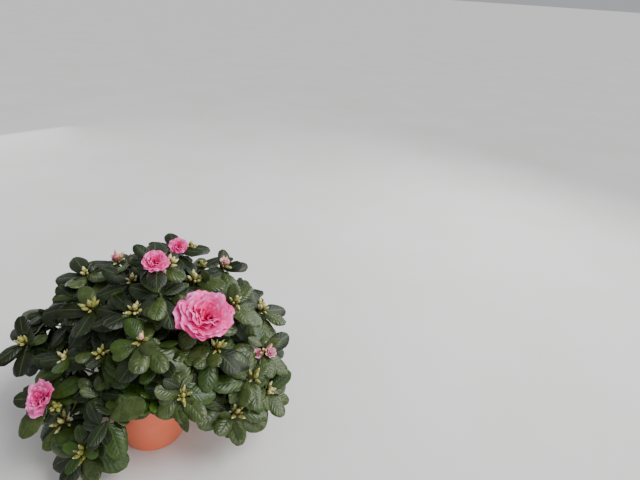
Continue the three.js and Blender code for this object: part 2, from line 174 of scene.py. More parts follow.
class Arch:
    """A cubic curve that leaves one point along one direction and enters another along a second one."""

    DIVISIONS = 200
    BESIDE = 1e-4

    def __init__(
        self, start: Array, leaving: Array, end: Array, entering: Array,
        shares: Pair,
    ) -> None:
        """Sets the four control points and measures the curve.

        Args:
            start: where the curve starts.
            leaving: its unit direction there.
            end: where it ends.
            entering: its unit direction there.
            shares: how far the two inner control points are along the directions, as shares of the span.
        """
        span = float(np.linalg.norm(end - start))
        self.controls = np.array(
            [start, start + leaving * span * shares[0], end - entering * span * shares[1], end]
        )
        self.times = np.linspace(0.0, 1.0, self.DIVISIONS + 1)
        steps = np.linalg.norm(np.diff(self._at(self.times), axis=0), axis=1)
        self.lengths = np.concatenate([[0.0], np.cumsum(steps)])

    def _at(self, times: Array) -> Array:
        """Points of the curve at times from 0 to 1: each control point times its cubic weight, summed."""
        t = np.asarray(times)[..., None]
        weights = [(1 - t) ** 3, 3 * t * (1 - t) ** 2, 3 * t * t * (1 - t), t ** 3]
        return np.concatenate(weights, axis=-1) @ self.controls

    @property
    def length(self) -> float:
        """The curve's length."""
        return float(self.lengths[-1])

    def _times(self, shares: Array) -> Array:
        """Curve times at even shares of the length."""
        return np.interp(np.asarray(shares) * self.length, self.lengths, self.times)

    def point(self, shares: Array) -> Array:
        """Points at shares of the length."""
        return self._at(self._times(shares))

    def tangent(self, share: float) -> Array:
        """The direction between two points just before and just after a share of the length.

        Args:
            share: the share of the length, from 0 to 1.

        Returns:
            The unit direction there.
        """
        time = float(self._times(np.array(share)))
        ends = np.clip([time - self.BESIDE, time + self.BESIDE], 0.0, 1.0)
        low, high = self._at(ends)
        return unit(high - low)


SLANTED_WAY = (0.31, 0.77, 0.56)


def carried_frames(points: Array) -> Ways:
    """Side vectors along a path that turn as little as they can.

    The first is square to the path and to a slanted way that no path starts along. Each next one is the
    one before, made square to the path again.

    Args:
        points: the path, one point a row.

    Returns:
        Two arrays of unit vectors square to the path and to each other.
    """
    tangents = unit(np.gradient(points, axis=0))
    side = unit(np.cross(tangents[0], SLANTED_WAY))
    sides = []
    for tangent in tangents:
        side = squared(side, tangent)
        sides.append(side)
    first = np.array(sides)
    return first, np.cross(tangents, first)


@dataclass
class Pieces:
    """Vertices and faces of one joined piece, gathered as arrays. A face of three ends in -1."""

    points: list[Array] = field(default_factory=list)
    faces: list[Array] = field(default_factory=list)
    uvs: list[Array] = field(default_factory=list)
    looks: list[Array] = field(default_factory=list)
    count: int = 0

    def add(self, points: Array, faces: Array, uvs: Array, looks: Array | int = 0) -> None:
        """Adds a part of the piece.

        Args:
            points: its vertices in millimetres.
            faces: its faces, numbered from its own first vertex.
            uvs: two numbers for each vertex.
            looks: the number of each face's material.
        """
        self.points.append(points.reshape(-1, 3))
        self.faces.append(np.where(faces < 0, -1, faces + self.count))
        self.uvs.append(uvs.reshape(-1, 2))
        self.looks.append(np.broadcast_to(looks, (len(faces),)))
        self.count += len(self.points[-1])

    def build(
        self, name: str, materials: list[bpy.types.Material], smooth: bool = True,
    ) -> bpy.types.Object:
        """Makes the piece as one object that rides on the part's body.

        Args:
            name: the piece's name.
            materials: its materials, in the order of their numbers.
            smooth: whether its faces are shaded as one surface.

        Returns:
            The new object, at the origin, in metres.
        """
        points = np.concatenate(self.points) * METRES
        faces = np.concatenate(self.faces)
        looks = np.concatenate(self.looks)
        used = faces >= 0
        corners = faces[used]
        mesh = bpy.data.meshes.new(name)
        mesh.vertices.add(len(points))
        mesh.vertices.foreach_set("co", points.astype(np.float32).ravel())
        mesh.loops.add(len(corners))
        mesh.loops.foreach_set("vertex_index", corners.astype(np.int32))
        mesh.polygons.add(len(faces))
        sizes = used.sum(axis=1)
        starts = np.concatenate([[0], np.cumsum(sizes)[:-1]])
        mesh.polygons.foreach_set("loop_start", starts.astype(np.int32))
        mesh.polygons.foreach_set("material_index", looks.astype(np.int32))
        layer = mesh.uv_layers.new(name="UVMap")
        layer.data.foreach_set("uv", np.concatenate(self.uvs)[corners].astype(np.float32).ravel())
        mesh.update(calc_edges=True)
        mesh.validate()
        mesh.polygons.foreach_set("use_smooth", np.full(len(mesh.polygons), smooth))
        for material in materials:
            mesh.materials.append(material)
        piece = bpy.data.objects.new(name, mesh)
        bpy.context.scene.collection.objects.link(piece)
        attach(piece, BODY)
        LOG.info("%s: %d triangles", name, int((sizes - 2).sum()))
        return piece


def grid_faces(rows: int, columns: int, closed: bool) -> Array:
    """The faces of a grid of points that are numbered row by row.

    Args:
        rows: how many rows of points there are.
        columns: how many points a row has.
        closed: whether the last column joins the first.

    Returns:
        Four numbers for each face.
    """
    row, column = np.meshgrid(np.arange(rows - 1), np.arange(columns - (not closed)), indexing="ij")
    here = row * columns + column
    beside = row * columns + (column + 1) % columns
    return np.stack([here, beside, beside + columns, here + columns], axis=-1).reshape(-1, 4)


def tube(
    path: Array, radii: Array, sides: int, relief: Array | None = None,
) -> tuple[Array, Array, Array]:
    """A round tube along a path, closed by a point at each end.

    A vertex is the path's point plus its radius times the sum of the cosine and sine of its angle along
    the two side vectors, with the relief added to the radius.

    Args:
        path: the middle line.
        radii: the radius at each of its points.
        sides: how many vertices a ring has.
        relief: an offset from the radius for each ring and side.

    Returns:
        Points, faces and UVs.
    """
    first, second = carried_frames(path)
    angle = ring_angles(sides)
    reach = radii[:, None] + (0.0 if relief is None else relief)
    ring = np.cos(angle)[None, :, None] * first[:, None] + np.sin(angle)[None, :, None] * second[:, None]
    body = path[:, None] + ring * reach[..., None]
    rows = len(path)
    points = np.concatenate([body.reshape(-1, 3), path[:1], path[-1:]])
    faces = grid_faces(rows, sides, closed=True)
    here = np.arange(sides)
    beside = (here + 1) % sides
    none = np.full(sides, -1)
    foot = np.stack([beside, here, np.full(sides, rows * sides), none], axis=-1)
    last = (rows - 1) * sides
    head = np.stack([last + here, last + beside, np.full(sides, rows * sides + 1), none], axis=-1)
    uvs = pairs(np.linspace(0.0, 1.0, rows), np.linspace(0.0, 1.0, sides, endpoint=False)).reshape(-1, 2)
    uvs = np.concatenate([uvs, [[0.0, 0.5], [1.0, 0.5]]])
    return points, np.concatenate([faces, foot, head]), uvs


class Shade:
    """A shader socket that takes part in sums. Each operator adds a Math node."""

    def __init__(self, nodes: "NodeBook", socket: bpy.types.NodeSocket) -> None:
        """Wraps a socket of a node book."""
        self.nodes = nodes
        self.socket = socket

    def _math(self, operation: str, *values: "Shade | float") -> "Shade":
        """A Math node on values, in their order."""
        node = self.nodes.node("ShaderNodeMath", {"operation": operation}, dict(enumerate(values)))
        return Shade(self.nodes, node.outputs[0])

    def __add__(self, other: "Shade | float") -> "Shade":
        """The sum."""
        return self._math("ADD", self, other)

    __radd__ = __add__

    def __sub__(self, other: "Shade | float") -> "Shade":
        """This value less another."""
        return self._math("SUBTRACT", self, other)

    def __rsub__(self, other: float) -> "Shade":
        """A number less this value."""
        return self._math("SUBTRACT", other, self)

    def __mul__(self, other: "Shade | float") -> "Shade":
        """The product."""
        return self._math("MULTIPLY", self, other)

    __rmul__ = __mul__

    def __abs__(self) -> "Shade":
        """The value without its sign."""
        return self._math("ABSOLUTE", self)

    def ping_pong(self, scale: float) -> "Shade":
        """A wave that rises to scale and falls back to 0, over and over."""
        return self._math("PINGPONG", self, scale)

    def between(self, low: float, high: float) -> "Shade":
        """A smooth rise from 0, where the value is low or less, to 1, where it is high or more."""
        node = self.nodes.node(
            "ShaderNodeMapRange", {"interpolation_type": "SMOOTHSTEP"},
            {"Value": self, "From Min": low, "From Max": high},
        )
        return Shade(self.nodes, node.outputs["Result"])


class NodeBook:
    """One material's nodes, made one at a time, with its main shader and output in place."""

    def __init__(self, name: str) -> None:
        """Starts a material with a main shader and its output.

        Args:
            name: the material's name.
        """
        self.material = bpy.data.materials.new(name)
        self.material.use_nodes = True
        self.tree = self.material.node_tree
        self.tree.nodes.clear()
        self.shader = self.node("ShaderNodeBsdfPrincipled")
        self.node("ShaderNodeOutputMaterial", {}, {"Surface": Shade(self, self.shader.outputs[0])})

    def node(
        self, kind: str, settings: dict[str, object] | None = None,
        values: dict[object, object] | None = None,
    ) -> bpy.types.Node:
        """Adds a node.

        Args:
            kind: the node's type.
            settings: its properties, set first, or ramp stops under the name stops.
            values: values or links for its sockets, by name or number.

        Returns:
            The node.
        """
        made = self.tree.nodes.new(kind)
        for name, value in (settings or {}).items():
            if name == "stops":
                self._set_stops(made.color_ramp, value)
            else:
                setattr(made, name, value)
        for socket, value in (values or {}).items():
            self.feed(made, socket, value)
        return made

    def feed(self, node: bpy.types.Node, socket: object, value: object) -> None:
        """Sets a socket to a value, or links it when the value is a Shade.

        Args:
            node: the node.
            socket: the socket's name or number.
            value: what it gets.
        """
        if isinstance(value, Shade):
            self.tree.links.new(value.socket, node.inputs[socket])
        else:
            node.inputs[socket].default_value = value

    @staticmethod
    def _set_stops(ramp: bpy.types.ColorRamp, stops: Stops) -> None:
        """Gives a ramp its stops.

        Args:
            ramp: the ramp, which has two stops to begin with.
            stops: each stop's position and colour.
        """
        while len(ramp.elements) < len(stops):
            ramp.elements.new(1.0)
        for element, (position, colour) in zip(ramp.elements, stops):
            element.position = position
            element.color = (*colour, 1.0)

    def set(self, **values: object) -> None:
        """Sets sockets of the main shader; an underscore in a name stands for a space."""
        for name, value in values.items():
            self.feed(self.shader, name.replace("_", " "), value)

    def coordinates(self, output: str = "Object") -> Shade:
        """The piece's own coordinates."""
        return Shade(self, self.node("ShaderNodeTexCoord").outputs[output])

    def uv(self) -> tuple[Shade, Shade]:
        """The two numbers of the piece's UV map."""
        parts = self.node("ShaderNodeSeparateXYZ", {}, {0: self.coordinates("UV")})
        return Shade(self, parts.outputs[0]), Shade(self, parts.outputs[1])

    def noise(self, scale: float, detail: float = 3.0, roughness: float = 0.55) -> Shade:
        """Cloudy noise from 0 to 1 over the piece, scale patches a metre."""
        made = self.node(
            "ShaderNodeTexNoise", {},
            {"Vector": self.coordinates(), "Scale": scale, "Detail": detail, "Roughness": roughness},
        )
        return Shade(self, made.outputs[0])

    def mix(self, share: Shade | float, first: object, second: object) -> Shade:
        """A colour between two, by a share."""
        made = self.node("ShaderNodeMix", {"data_type": "RGBA"}, {0: share, 6: first, 7: second})
        return Shade(self, made.outputs[2])

    def ramp(self, value: Shade, stops: Stops) -> Shade:
        """A colour read off a ramp of stops."""
        made = self.node("ShaderNodeValToRGB", {"stops": stops}, {0: value})
        return Shade(self, made.outputs[0])

    def bump(self, height: Shade, strength: float, depth: float) -> None:
        """Roughens the surface by a height pattern, depth in metres."""
        made = self.node(
            "ShaderNodeBump", {}, {"Strength": strength, "Distance": depth, "Height": height}
        )
        self.set(Normal=Shade(self, made.outputs[0]))


def tint(colour: Colour, amount: float = 1.0) -> tuple[float, float, float, float]:
    """A colour made lighter or darker by an amount, with full alpha."""
    return (colour[0] * amount, colour[1] * amount, colour[2] * amount, 1.0)


@dataclass(frozen=True)
class LeafFinish:
    """Leathery leaf: side veins that slant to the rim, cloudy depth of colour, a soft gloss."""

    name: str
    colour: Colour
    pale: Colour
    roughness: float = 0.42
    gloss: float = 0.36
    veins: float = 8.0
    slant: float = 4.5
    depth: float = 0.0009

    def material(self) -> bpy.types.Material:
        """Builds the material: clouds mix the two colours, and side veins ripple the surface.

        Returns:
            The new material.
        """
        book = NodeBook(self.name)
        along, across = book.uv()
        clouds = book.noise(90.0, 3.0)
        grain = book.noise(700.0, 2.0)
        vein = (along * self.veins - abs(across - 0.5) * self.slant + clouds * 0.8).ping_pong(0.5) * 2.0
        book.set(
            Base_Color=book.mix(clouds.between(0.35, 0.75), tint(self.colour), tint(self.pale)),
            Roughness=clouds * 0.2 + grain * 0.1 + (self.roughness - 0.15),
            Specular_IOR_Level=self.gloss,
        )
        book.bump(vein * 0.6 + grain * 0.35 + clouds * 0.8, 0.5, self.depth)
        return book.material


@dataclass(frozen=True)
class MattFinish:
    """A dull surface with cloudy colour and a fine grain, for what has no veins of its own."""

    name: str
    colour: Colour
    pale: Colour
    roughness: float = 0.7
    clouds: float = 120.0
    grain: float = 900.0
    depth: float = 0.0003

    def material(self) -> bpy.types.Material:
        """Builds the material: clouds mix the two colours, and the grain roughens it.

        Returns:
            The new material.
        """
        book = NodeBook(self.name)
        clouds = book.noise(self.clouds, 4.0)
        grain = book.noise(self.grain, 3.0)
        book.set(
            Base_Color=book.mix(clouds.between(0.3, 0.7), tint(self.colour), tint(self.pale)),
            Roughness=grain * 0.2 + (self.roughness - 0.1),
        )
        book.bump(grain + clouds * 0.5, 0.6, self.depth)
        return book.material


@dataclass(frozen=True)
class BarkFinish:
    """Grey-brown bark with long dark cracks and lichen-grey patches."""

    name: str
    dark: Colour
    light: Colour
    lichen: Colour = (0.3, 0.28, 0.23)
    shadow: float = 0.35
    stretch: Pair = (4.0, 14.0)
    depth: float = 0.0012

    def material(self) -> bpy.types.Material:
        """Builds the material: stretched noise makes the cracks, round noise the patches.

        Returns:
            The new material.
        """
        book = NodeBook(self.name)
        along, around = book.uv()
        spot = book.node(
            "ShaderNodeCombineXYZ", {}, {0: along * self.stretch[0], 1: around * self.stretch[1], 2: 0.0},
        )
        cracks = book.node(
            "ShaderNodeTexNoise", {},
            {"Vector": Shade(book, spot.outputs[0]), "Scale": 3.0, "Detail": 6.0, "Roughness": 0.65},
        )
        crack = Shade(book, cracks.outputs[0])
        patches = book.noise(60.0, 4.0)
        deep = tint(self.dark, self.shadow)[:3]
        base = book.ramp(crack, [(0.3, deep), (0.5, self.dark), (0.72, self.light)])
        book.set(
            Base_Color=book.mix(patches.between(0.55, 0.75) * 0.5, base, tint(self.lichen)),
            Roughness=crack * 0.25 + 0.68,
        )
        book.bump(crack + patches * 0.4, 0.9, self.depth)
        return book.material


@dataclass(frozen=True)
class PetalFinish:
    """Soft petal: a cloudy colour with fine lines that run out to the rim."""

    name: str
    colour: Colour
    pale: Colour
    lines: float = 22.0
    depth: float = 0.0007

    def material(self) -> bpy.types.Material:
        """Builds the material: clouds mix the two colours, and streaks and clouds crease the surface.

        Returns:
            The new material.
        """
        book = NodeBook(self.name)
        _, across = book.uv()
        clouds = book.noise(170.0, 3.0)
        streaks = (across * self.lines + clouds * 2.0).ping_pong(0.5) * 2.0
        book.set(
            Base_Color=book.mix(clouds.between(0.3, 0.7), tint(self.colour), tint(self.pale)),
            Roughness=clouds * 0.15 + 0.5,
        )
        book.bump(streaks * 0.5 + clouds, 0.4, self.depth)
        return book.material


@dataclass(frozen=True)
class PlasticFinish:
    """Moulded plastic: a slight sheen, cloudy colour, scuffs and a little dust low down."""

    name: str
    colour: Colour
    worn: Colour
    shaded: float = 0.82
    dust_height: float = 0.05
    depth: float = 0.0003

    def material(self) -> bpy.types.Material:
        """Builds the material: clouds shift the colour, scratches and dust dull it.

        Returns:
            The new material.
        """
        book = NodeBook(self.name)
        parts = book.node("ShaderNodeSeparateXYZ", {}, {0: book.coordinates()})
        height = Shade(book, parts.outputs[2])
        clouds = book.noise(22.0, 5.0)
        fine = book.noise(420.0, 3.0)
        scuffs = book.noise(75.0, 6.0, 0.7).between(0.58, 0.72)
        dust = (1.0 - height.between(0.0, self.dust_height)) * clouds.between(0.4, 0.7)
        shade = clouds.between(0.35, 0.7) * 0.5
        base = book.mix(shade, tint(self.colour), tint(self.colour, self.shaded))
        dusty = book.mix(dust * 0.25 + scuffs * 0.18, base, tint(self.worn))
        book.set(Base_Color=dusty, Roughness=scuffs * 0.18 + fine * 0.08 + dust * 0.15 + 0.36)
        book.bump(fine + clouds * 0.6, 0.25, self.depth)
        return book.material


class Tone(Enum):
    """Which green a shoot's leaves have: the dark, fresh and young greens are the leaves' own, the grey
    green is a lighter copy that paints sunlit sheen, and the deepest green is a darker copy that paints
    shade.
    """

    DEEP = 0
    DARK = 1
    GREY = 2
    FRESH = 3
    YOUNG = 4


# The grey finish is a lighter copy of the dark green that paints sunlit sheen, and the deepest finish is a
# darker copy that paints shade.
LEAF_FINISHES = (
    LeafFinish("leaf_deep", (0.007, 0.012, 0.002), (0.012, 0.021, 0.004), 0.42),
    LeafFinish("leaf_dark", (0.008, 0.016, 0.0022), (0.015, 0.028, 0.0045), 0.45),
    LeafFinish("leaf_grey", (0.037, 0.059, 0.013), (0.072, 0.101, 0.027), 0.28),
    LeafFinish("leaf_fresh", (0.022, 0.048, 0.005), (0.042, 0.082, 0.01), 0.33),
    LeafFinish("leaf_young", (0.035, 0.085, 0.007), (0.065, 0.135, 0.012), 0.34),
)
RIB_FINISH = MattFinish("leaf_rib", (0.035, 0.058, 0.012), (0.055, 0.085, 0.02), 0.42)
UNDERLEAF_FINISH = MattFinish("leaf_underside", (0.07, 0.11, 0.03), (0.1, 0.15, 0.045), 0.6)
TWIG_FINISH = MattFinish("twig_bark", (0.09, 0.07, 0.03), (0.14, 0.13, 0.045), 0.75)
BUD_HUSK = MattFinish("bud_husk", (0.14, 0.065, 0.016), (0.27, 0.16, 0.04), 0.6, 300.0)
BUD_GREEN = MattFinish("bud_green", (0.19, 0.22, 0.04), (0.42, 0.4, 0.11), 0.5, 300.0)
BUD_CREAM = MattFinish("bud_cream", (0.56, 0.5, 0.19), (0.84, 0.75, 0.42), 0.5, 300.0)
BUD_BLUSH = MattFinish("bud_blush", (0.92, 0.4, 0.34), (0.96, 0.68, 0.52), 0.5, 300.0)
PETAL_FINISHES = (
    PetalFinish("petal_heart", (0.5, 0.0, 0.07), (0.75, 0.0, 0.14)),
    PetalFinish("petal_rose", (0.86, 0.008, 0.22), (1.0, 0.03, 0.32)),
    PetalFinish("petal_pink", (1.0, 0.025, 0.3), (1.0, 0.055, 0.38)),
    PetalFinish("petal_light", (1.0, 0.06, 0.38), (1.0, 0.12, 0.47)),
    PetalFinish("petal_rim", (1.0, 0.17, 0.52), (1.0, 0.32, 0.66)),
    PetalFinish("petal_pale", (1.0, 0.42, 0.56), (1.0, 0.62, 0.7)),
)
POT_FINISH = PlasticFinish("pot_plastic", (0.9, 0.185, 0.085), (0.78, 0.36, 0.25))
SOIL_FINISH = MattFinish(
    "soil_peat", (0.018, 0.011, 0.007), (0.05, 0.032, 0.02), 0.95, 200.0, 1200.0, 0.001,
)
CRUMB_FINISH = MattFinish("soil_crumb", (0.03, 0.018, 0.011), (0.09, 0.06, 0.04), 0.95, 400.0)
BARK_FINISH = BarkFinish("bark", (0.11, 0.075, 0.05), (0.24, 0.19, 0.14))
FLOOR_FINISH = MattFinish(
    "floor_paint", (0.72, 0.71, 0.69), (0.76, 0.75, 0.74), 0.6, 3.0, 60.0, 0.0004,
)


@dataclass(frozen=True)
class Nudge:
    """A move in the photograph's frame: pixels across and down, then millimetres to the camera."""

    across: float = 0.0
    down: float = 0.0
    nearer: float = 0.0


@dataclass(frozen=True)
class Sight:
    """The photograph's camera: its eye in millimetres, its axes, its lens and its frame in pixels."""

    eye: Triple = (0.0, -607.8, 652.5)
    right: Triple = (0.922, -0.3826, 0.0601)
    down: Triple = (-0.1274, -0.4462, -0.8858)
    lens: float = 27.06
    sensor: float = 36.0
    frame: Pair = (640.0, 480.0)

    def axes(self) -> tuple[Array, Array, Array]:
        """The camera's own ways, made exactly square to each other.

        Returns:
            The unit vectors to the right, down and forward in the picture.
        """
        right = unit(np.array(self.right))
        forward = unit(np.cross(right, np.array(self.down)))
        return right, np.cross(forward, right), forward

    def pixels(self, points: Array) -> Array:
        """Where points fall in the photograph's frame: their way off its middle over their depth.

        Args:
            points: one point a row, in millimetres.

        Returns:
            Pixels across and down for each point.
        """
        right, down, forward = self.axes()
        away = points - np.array(self.eye)
        scale = self.lens / self.sensor * self.frame[0] / (away @ forward)
        return np.stack([away @ right * scale, away @ down * scale], axis=-1) + np.array(self.frame) / 2.0

    def depths(self, points: Array) -> Array:
        """How far in front of the camera points are."""
        return (points - np.array(self.eye)) @ self.axes()[2]

    def nudge(self, point: Array, move: Nudge) -> Array:
        """Moves a point as the picture asks.

        Args:
            point: the point in millimetres.
            move: its move in the picture and to the camera.

        Returns:
            The moved point.
        """
        right, down, forward = self.axes()
        away = float((point - np.array(self.eye)) @ forward)
        pixel = away * self.sensor / self.lens / self.frame[0]
        moved = point + (right * move.across + down * move.down) * pixel
        return moved + unit(np.array(self.eye) - moved) * move.nearer


SIGHT = Sight()


@dataclass(frozen=True)
class Tip:
    """What a shoot ends in: its whorl's leaves, whether it has buds, and its blossom's radius or 0."""

    leaves: int
    buds: bool = False
    bloom: float = 0.0


TIPS = {
    "t": Tip(4),
    "v": Tip(8),
    "b": Tip(8, buds=True),
    "o": Tip(7, buds=True, bloom=11.0),
    "f": Tip(7, bloom=18.0),
    "F": Tip(8, bloom=42.0),
}


@dataclass(frozen=True)
class Limb:
    """A bough and its mass of foliage.

    The mass is at a bearing, a reach and a height. The bough enters it at a slope, from the trunk or on
    another bough. Its shoots fan out in a ring from a turn on, and each ends in the kind that its letter
    in tips names. Those in heart stand in the ring's middle.
    """

    name: str
    bearing: float
    reach: float
    height: float
    slope: float
    fan: float
    turn: float
    tips: str
    heart: str = ""
    on: str = ""


LIMBS = (
    Limb("leader", -145, 45, 240, 80, 40, 145, "bbb", "v"),
    Limb("front", 30, 90, 192, 50, 52, 128, "bbb", "v"),
    Limb("right", 90, 170, 180, 35, 50, 342, "bbo"),
    Limb("back_right", 132, 202, 190, 30, 50, 240, "bbo"),
    Limb("back", 172, 200, 148, 20, 56, 215, "bvb", "v"),
    Limb("back_left", -160, 156, 225, 50, 32, 32, "bov"),
    Limb("left", -125, 184, 152, 20, 34, 249, "vbv"),
    Limb("front_left", -40, 124, 105, -8, 46, 238, "bt"),
    Limb("high_left", -74, 82, 166, 50, 36, 191, "bvb", "v", on="front_left"),
    Limb("low_left", -88, 140, 98, 0, 36, 300, "bfv", on="left"),
    Limb("high_right", 95, 70, 244, 72, 40, 2, "bvF", on="right"),
    Limb("low_right", 57, 165, 108, 5, 32, 212, "bbb", on="right"),
    Limb("high_back", 160, 105, 282, 72, 44, 353, "vff", on="back_right"),
    Limb("low_back_right", 122, 206, 98, 2, 36, 320, "bvb", on="back_right"),
    Limb("low_back", 170, 190, 78, -6, 34, 356, "bv", on="back"),
    Limb("low_back_left", -147, 178, 85, -4, 36, 220, "vbv", on="back_left"),
    Limb("low_front", -14, 92, 132, 14, 24, 20, "vt", on="front"),
    Limb("upper_left", -128, 124, 200, 50, 24, 90, "vv", on="left"),
)


@dataclass(frozen=True)
class Habit:
    """The sizes of the plant's rule, the same as in the part's source."""

    soil_top: float = 94.0
    trunk_height: float = 32.0
    trunk_foot: float = 13.0
    trunk_neck: float = 8.6
    trunk_top: float = 7.6
    trunk_lean: float = 7.0
    lean_bearing: float = 165.0
    bough_radii: Pair = (4.0, 2.4)
    bough_shares: Pair = (0.36, 0.34)
    side_radii: Pair = (3.0, 2.2)
    side_at: float = 0.4
    side_forward: float = 0.6
    forks: tuple[Triple, ...] = ((0.86, 42.0, 9.8), (0.48, 34.0, 10.7))
    crown_middle: Triple = (8.0, 38.0, 108.0)
    crown_root: Triple = (8.0, 38.0, 40.0)
    roundness: float = 300.0
    depth: float = 46.0
    stem: float = 7.0
    heart_dip: float = 20.0
    light_rise: float = 68.0
    light_pull: float = 2.0
    twig_radii: Pair = (1.7, 1.1)
    twig_steps: int = 3
    twig_shares: Pair = (0.3, 0.35)


HABIT = Habit()


@dataclass(frozen=True)
class LeafRule:
    """The sizes of the rule that sets leaves on a shoot, the same as in the part's source."""

    width_ratio: float = 0.54
    widest: float = 0.45
    tip_width: float = 0.4
    droop: float = 0.2
    sag: float = 0.2
    first: Pair = (44.0, 54.0)
    last: Pair = (57.0, 88.0)
    step: float = 1.5
    start: float = 2.5
    seat: float = 0.3
    turn: float = GOLDEN_TURN
    under_count: int = 1
    under_length: float = 48.0
    under_opening: float = 99.0
    under_step: float = 8.0
    length_spread: float = 0.12
    opening_spread: float = 6.0
    turn_spread: float = 7.0
    lowest: float = 0.3
    retries: tuple[Pair, ...] = (
        (0, 0), (14, 0), (-14, 0), (0, -13), (0, 13), (26, -6), (-26, -6), (20, 12), (-20, 12),
    )

    @property
    def corners(self) -> tuple[Pair, ...]:
        """The solid leaf's corners, as shares of its length and half width: blunt tip, then widest."""
        return ((1.0, self.tip_width), (1.0, -self.tip_width), (self.widest, 1.0), (self.widest, -1.0))


LEAF = LeafRule()


@dataclass(frozen=True)
class Blossom:
    """A blossom as the photograph shows it: its radius, its move, the way it faces and how pale it is.

    The way is a bearing and a rise in degrees, and paler counts steps along the petals' finishes.
    """

    radius: float
    nudge: Nudge = Nudge()
    faces: Pair | None = None
    paler: int = 0


@dataclass(frozen=True)
class Seen:
    """What the photograph shows of one shoot and the rule alone doesn't give.

    nudge moves the shoot's tip, and scale sizes its whorl. Each of ends is where one more leaf ends, off
    the tip. No leaf hides a tip that is in view. A blushing cluster's middle bud is pink, and bud_beside
    is where an opening bud sits, off the blossom's foot.
    """

    nudge: Nudge = Nudge()
    scale: float = 1.0
    ends: tuple[Nudge, ...] = ()
    in_view: bool = True
    blushing: bool = False
    blossom: Blossom | None = None
    bud_beside: Nudge | None = None


SEEN = {
    ("leader", 0): Seen(),
    ("leader", 1): Seen(),
    ("leader", 2): Seen(Nudge(2.0, 4.0)),
    ("front", 0): Seen(Nudge(-6.0, -1.0), blushing=True),
    ("front", 1): Seen(Nudge(5.0, -4.0)),
    ("front", 2): Seen(Nudge(6.0, 6.0)),
    ("right", 0): Seen(Nudge(8.0, 0.0)),
    ("right", 1): Seen(Nudge(-3.0, 1.0)),
    ("right", 2): Seen(
        Nudge(6.0, 1.0), blushing=True, blossom=Blossom(12.5, Nudge(2.5, 4.0), (20.0, 55.0)),
        bud_beside=Nudge(-12.0, -1.0),
    ),
    ("back_right", 1): Seen(),
    ("back_right", 2): Seen(),
    ("back_left", 0): Seen(),
    ("back_left", 1): Seen(blushing=True),
    ("left", 1): Seen(Nudge(-4.0, -2.0), ends=(Nudge(-8.0, -26.0),)),
    ("front_left", 0): Seen(ends=(Nudge(-37.0, -9.0), Nudge(41.0, 13.0))),
    ("high_left", 0): Seen(Nudge(-5.0, -4.0)),
    ("high_left", 2): Seen(Nudge(0.0, 4.0)),
    ("low_left", 0): Seen(Nudge(6.0, -6.0)),
    ("low_left", 1): Seen(
        ends=(Nudge(27.0, -21.0),), blossom=Blossom(28.0, Nudge(1.0, 1.0), (-64.0, 36.0), paler=1),
    ),
    ("low_left", 2): Seen(scale=0.75, in_view=False),
    ("high_right", 0): Seen(),
    ("high_right", 2): Seen(blossom=Blossom(47.0, Nudge(0.0, 8.5), (8.0, 65.0)), in_view=False),
    ("low_right", 0): Seen(Nudge(-5.0, -4.0)),
    ("low_right", 1): Seen(Nudge(9.0, 1.0), ends=(Nudge(22.0, -20.0),)),
    ("low_right", 2): Seen(Nudge(5.0, -2.0)),
    ("high_back", 0): Seen(Nudge(-3.0, 13.0, 12.0), scale=0.85, in_view=False),
    ("high_back", 1): Seen(
        Nudge(0.0, 9.0, 24.0), blossom=Blossom(21.0, Nudge(-1.0, 2.0), (0.0, 55.0)),
        bud_beside=Nudge(4.5, 9.0),
    ),
    ("high_back", 2): Seen(blossom=Blossom(18.0, Nudge(0.0, 1.0), (-10.0, 50.0))),
}
UNSEEN = Seen(in_view=False)


@dataclass(frozen=True)
class Slot:
    """A leaf that a shoot would have: its angles, its length and how far it is below the shoot's tip."""

    turn: float
    opening: float
    length: float
    drop: float


@dataclass
class Shoot:
    """A twig with its tip, the axis that its whorl faces along and its own source of numbers.

    The shift takes its tip from the rule's place to where the photograph shows it.
    """

    limb: Limb
    kind: str
    tip: Array
    axis: Array
    curve: Arch
    draws: Draws
    seen: Seen
    shift: Array
    steps: int = HABIT.twig_steps

    def slots(self) -> list[Slot]:
        """The leaves that the shoot would have: a spiral whorl that opens downwards, and one below.

        Returns:
            A slot for each leaf, from the tip down.
        """
        leaves = TIPS[self.kind].leaves
        phase = self.draws.angle()
        made = []
        for index in range(leaves + LEAF.under_count):
            below = max(0, index - leaves + 1)
            share = min(1.0, index / (leaves - 1))
            opening = LEAF.under_opening if below else blend(LEAF.first[1], LEAF.last[1], share)
            length = LEAF.under_length if below else blend(LEAF.first[0], LEAF.last[0], share)
            turn = phase + LEAF.turn * index + self.draws.spread(LEAF.turn_spread)
            opening += self.draws.spread(LEAF.opening_spread)
            length *= 1.0 + self.draws.spread(LEAF.length_spread)
            drop = LEAF.start + LEAF.step * index + LEAF.under_step * below
            made.append(Slot(turn, opening, length, drop))
        return made

    def point(self, share: float) -> Array:
        """The point at a share of the length, on the straight steps that the solid twig is made of.

        Args:
            share: the share of the length, which is kept off the twig's foot.

        Returns:
            The point.
        """
        along = min(max(share, LEAF.lowest), 1.0) * self.steps
        step = min(int(along), self.steps - 1)
        low, high = self.curve.point(np.array([step, step + 1]) / self.steps)
        return blend(low, high, along - step)

    def pose(self, slot: Slot, change: Pair = (0.0, 0.0)) -> "LeafPose":
        """The pose of a leaf in a slot.

        Args:
            slot: the leaf's slot.
            change: how far the leaf is turned and tipped out of it, in degrees.

        Returns:
            The pose.
        """
        outward = spoke(self.axis, math.radians(slot.turn + change[0]))
        base = self.point(1.0 - slot.drop / self.curve.length) + outward * LEAF.seat
        return LeafPose.opened(base, self.axis, outward, slot.opening + change[1], slot.length)


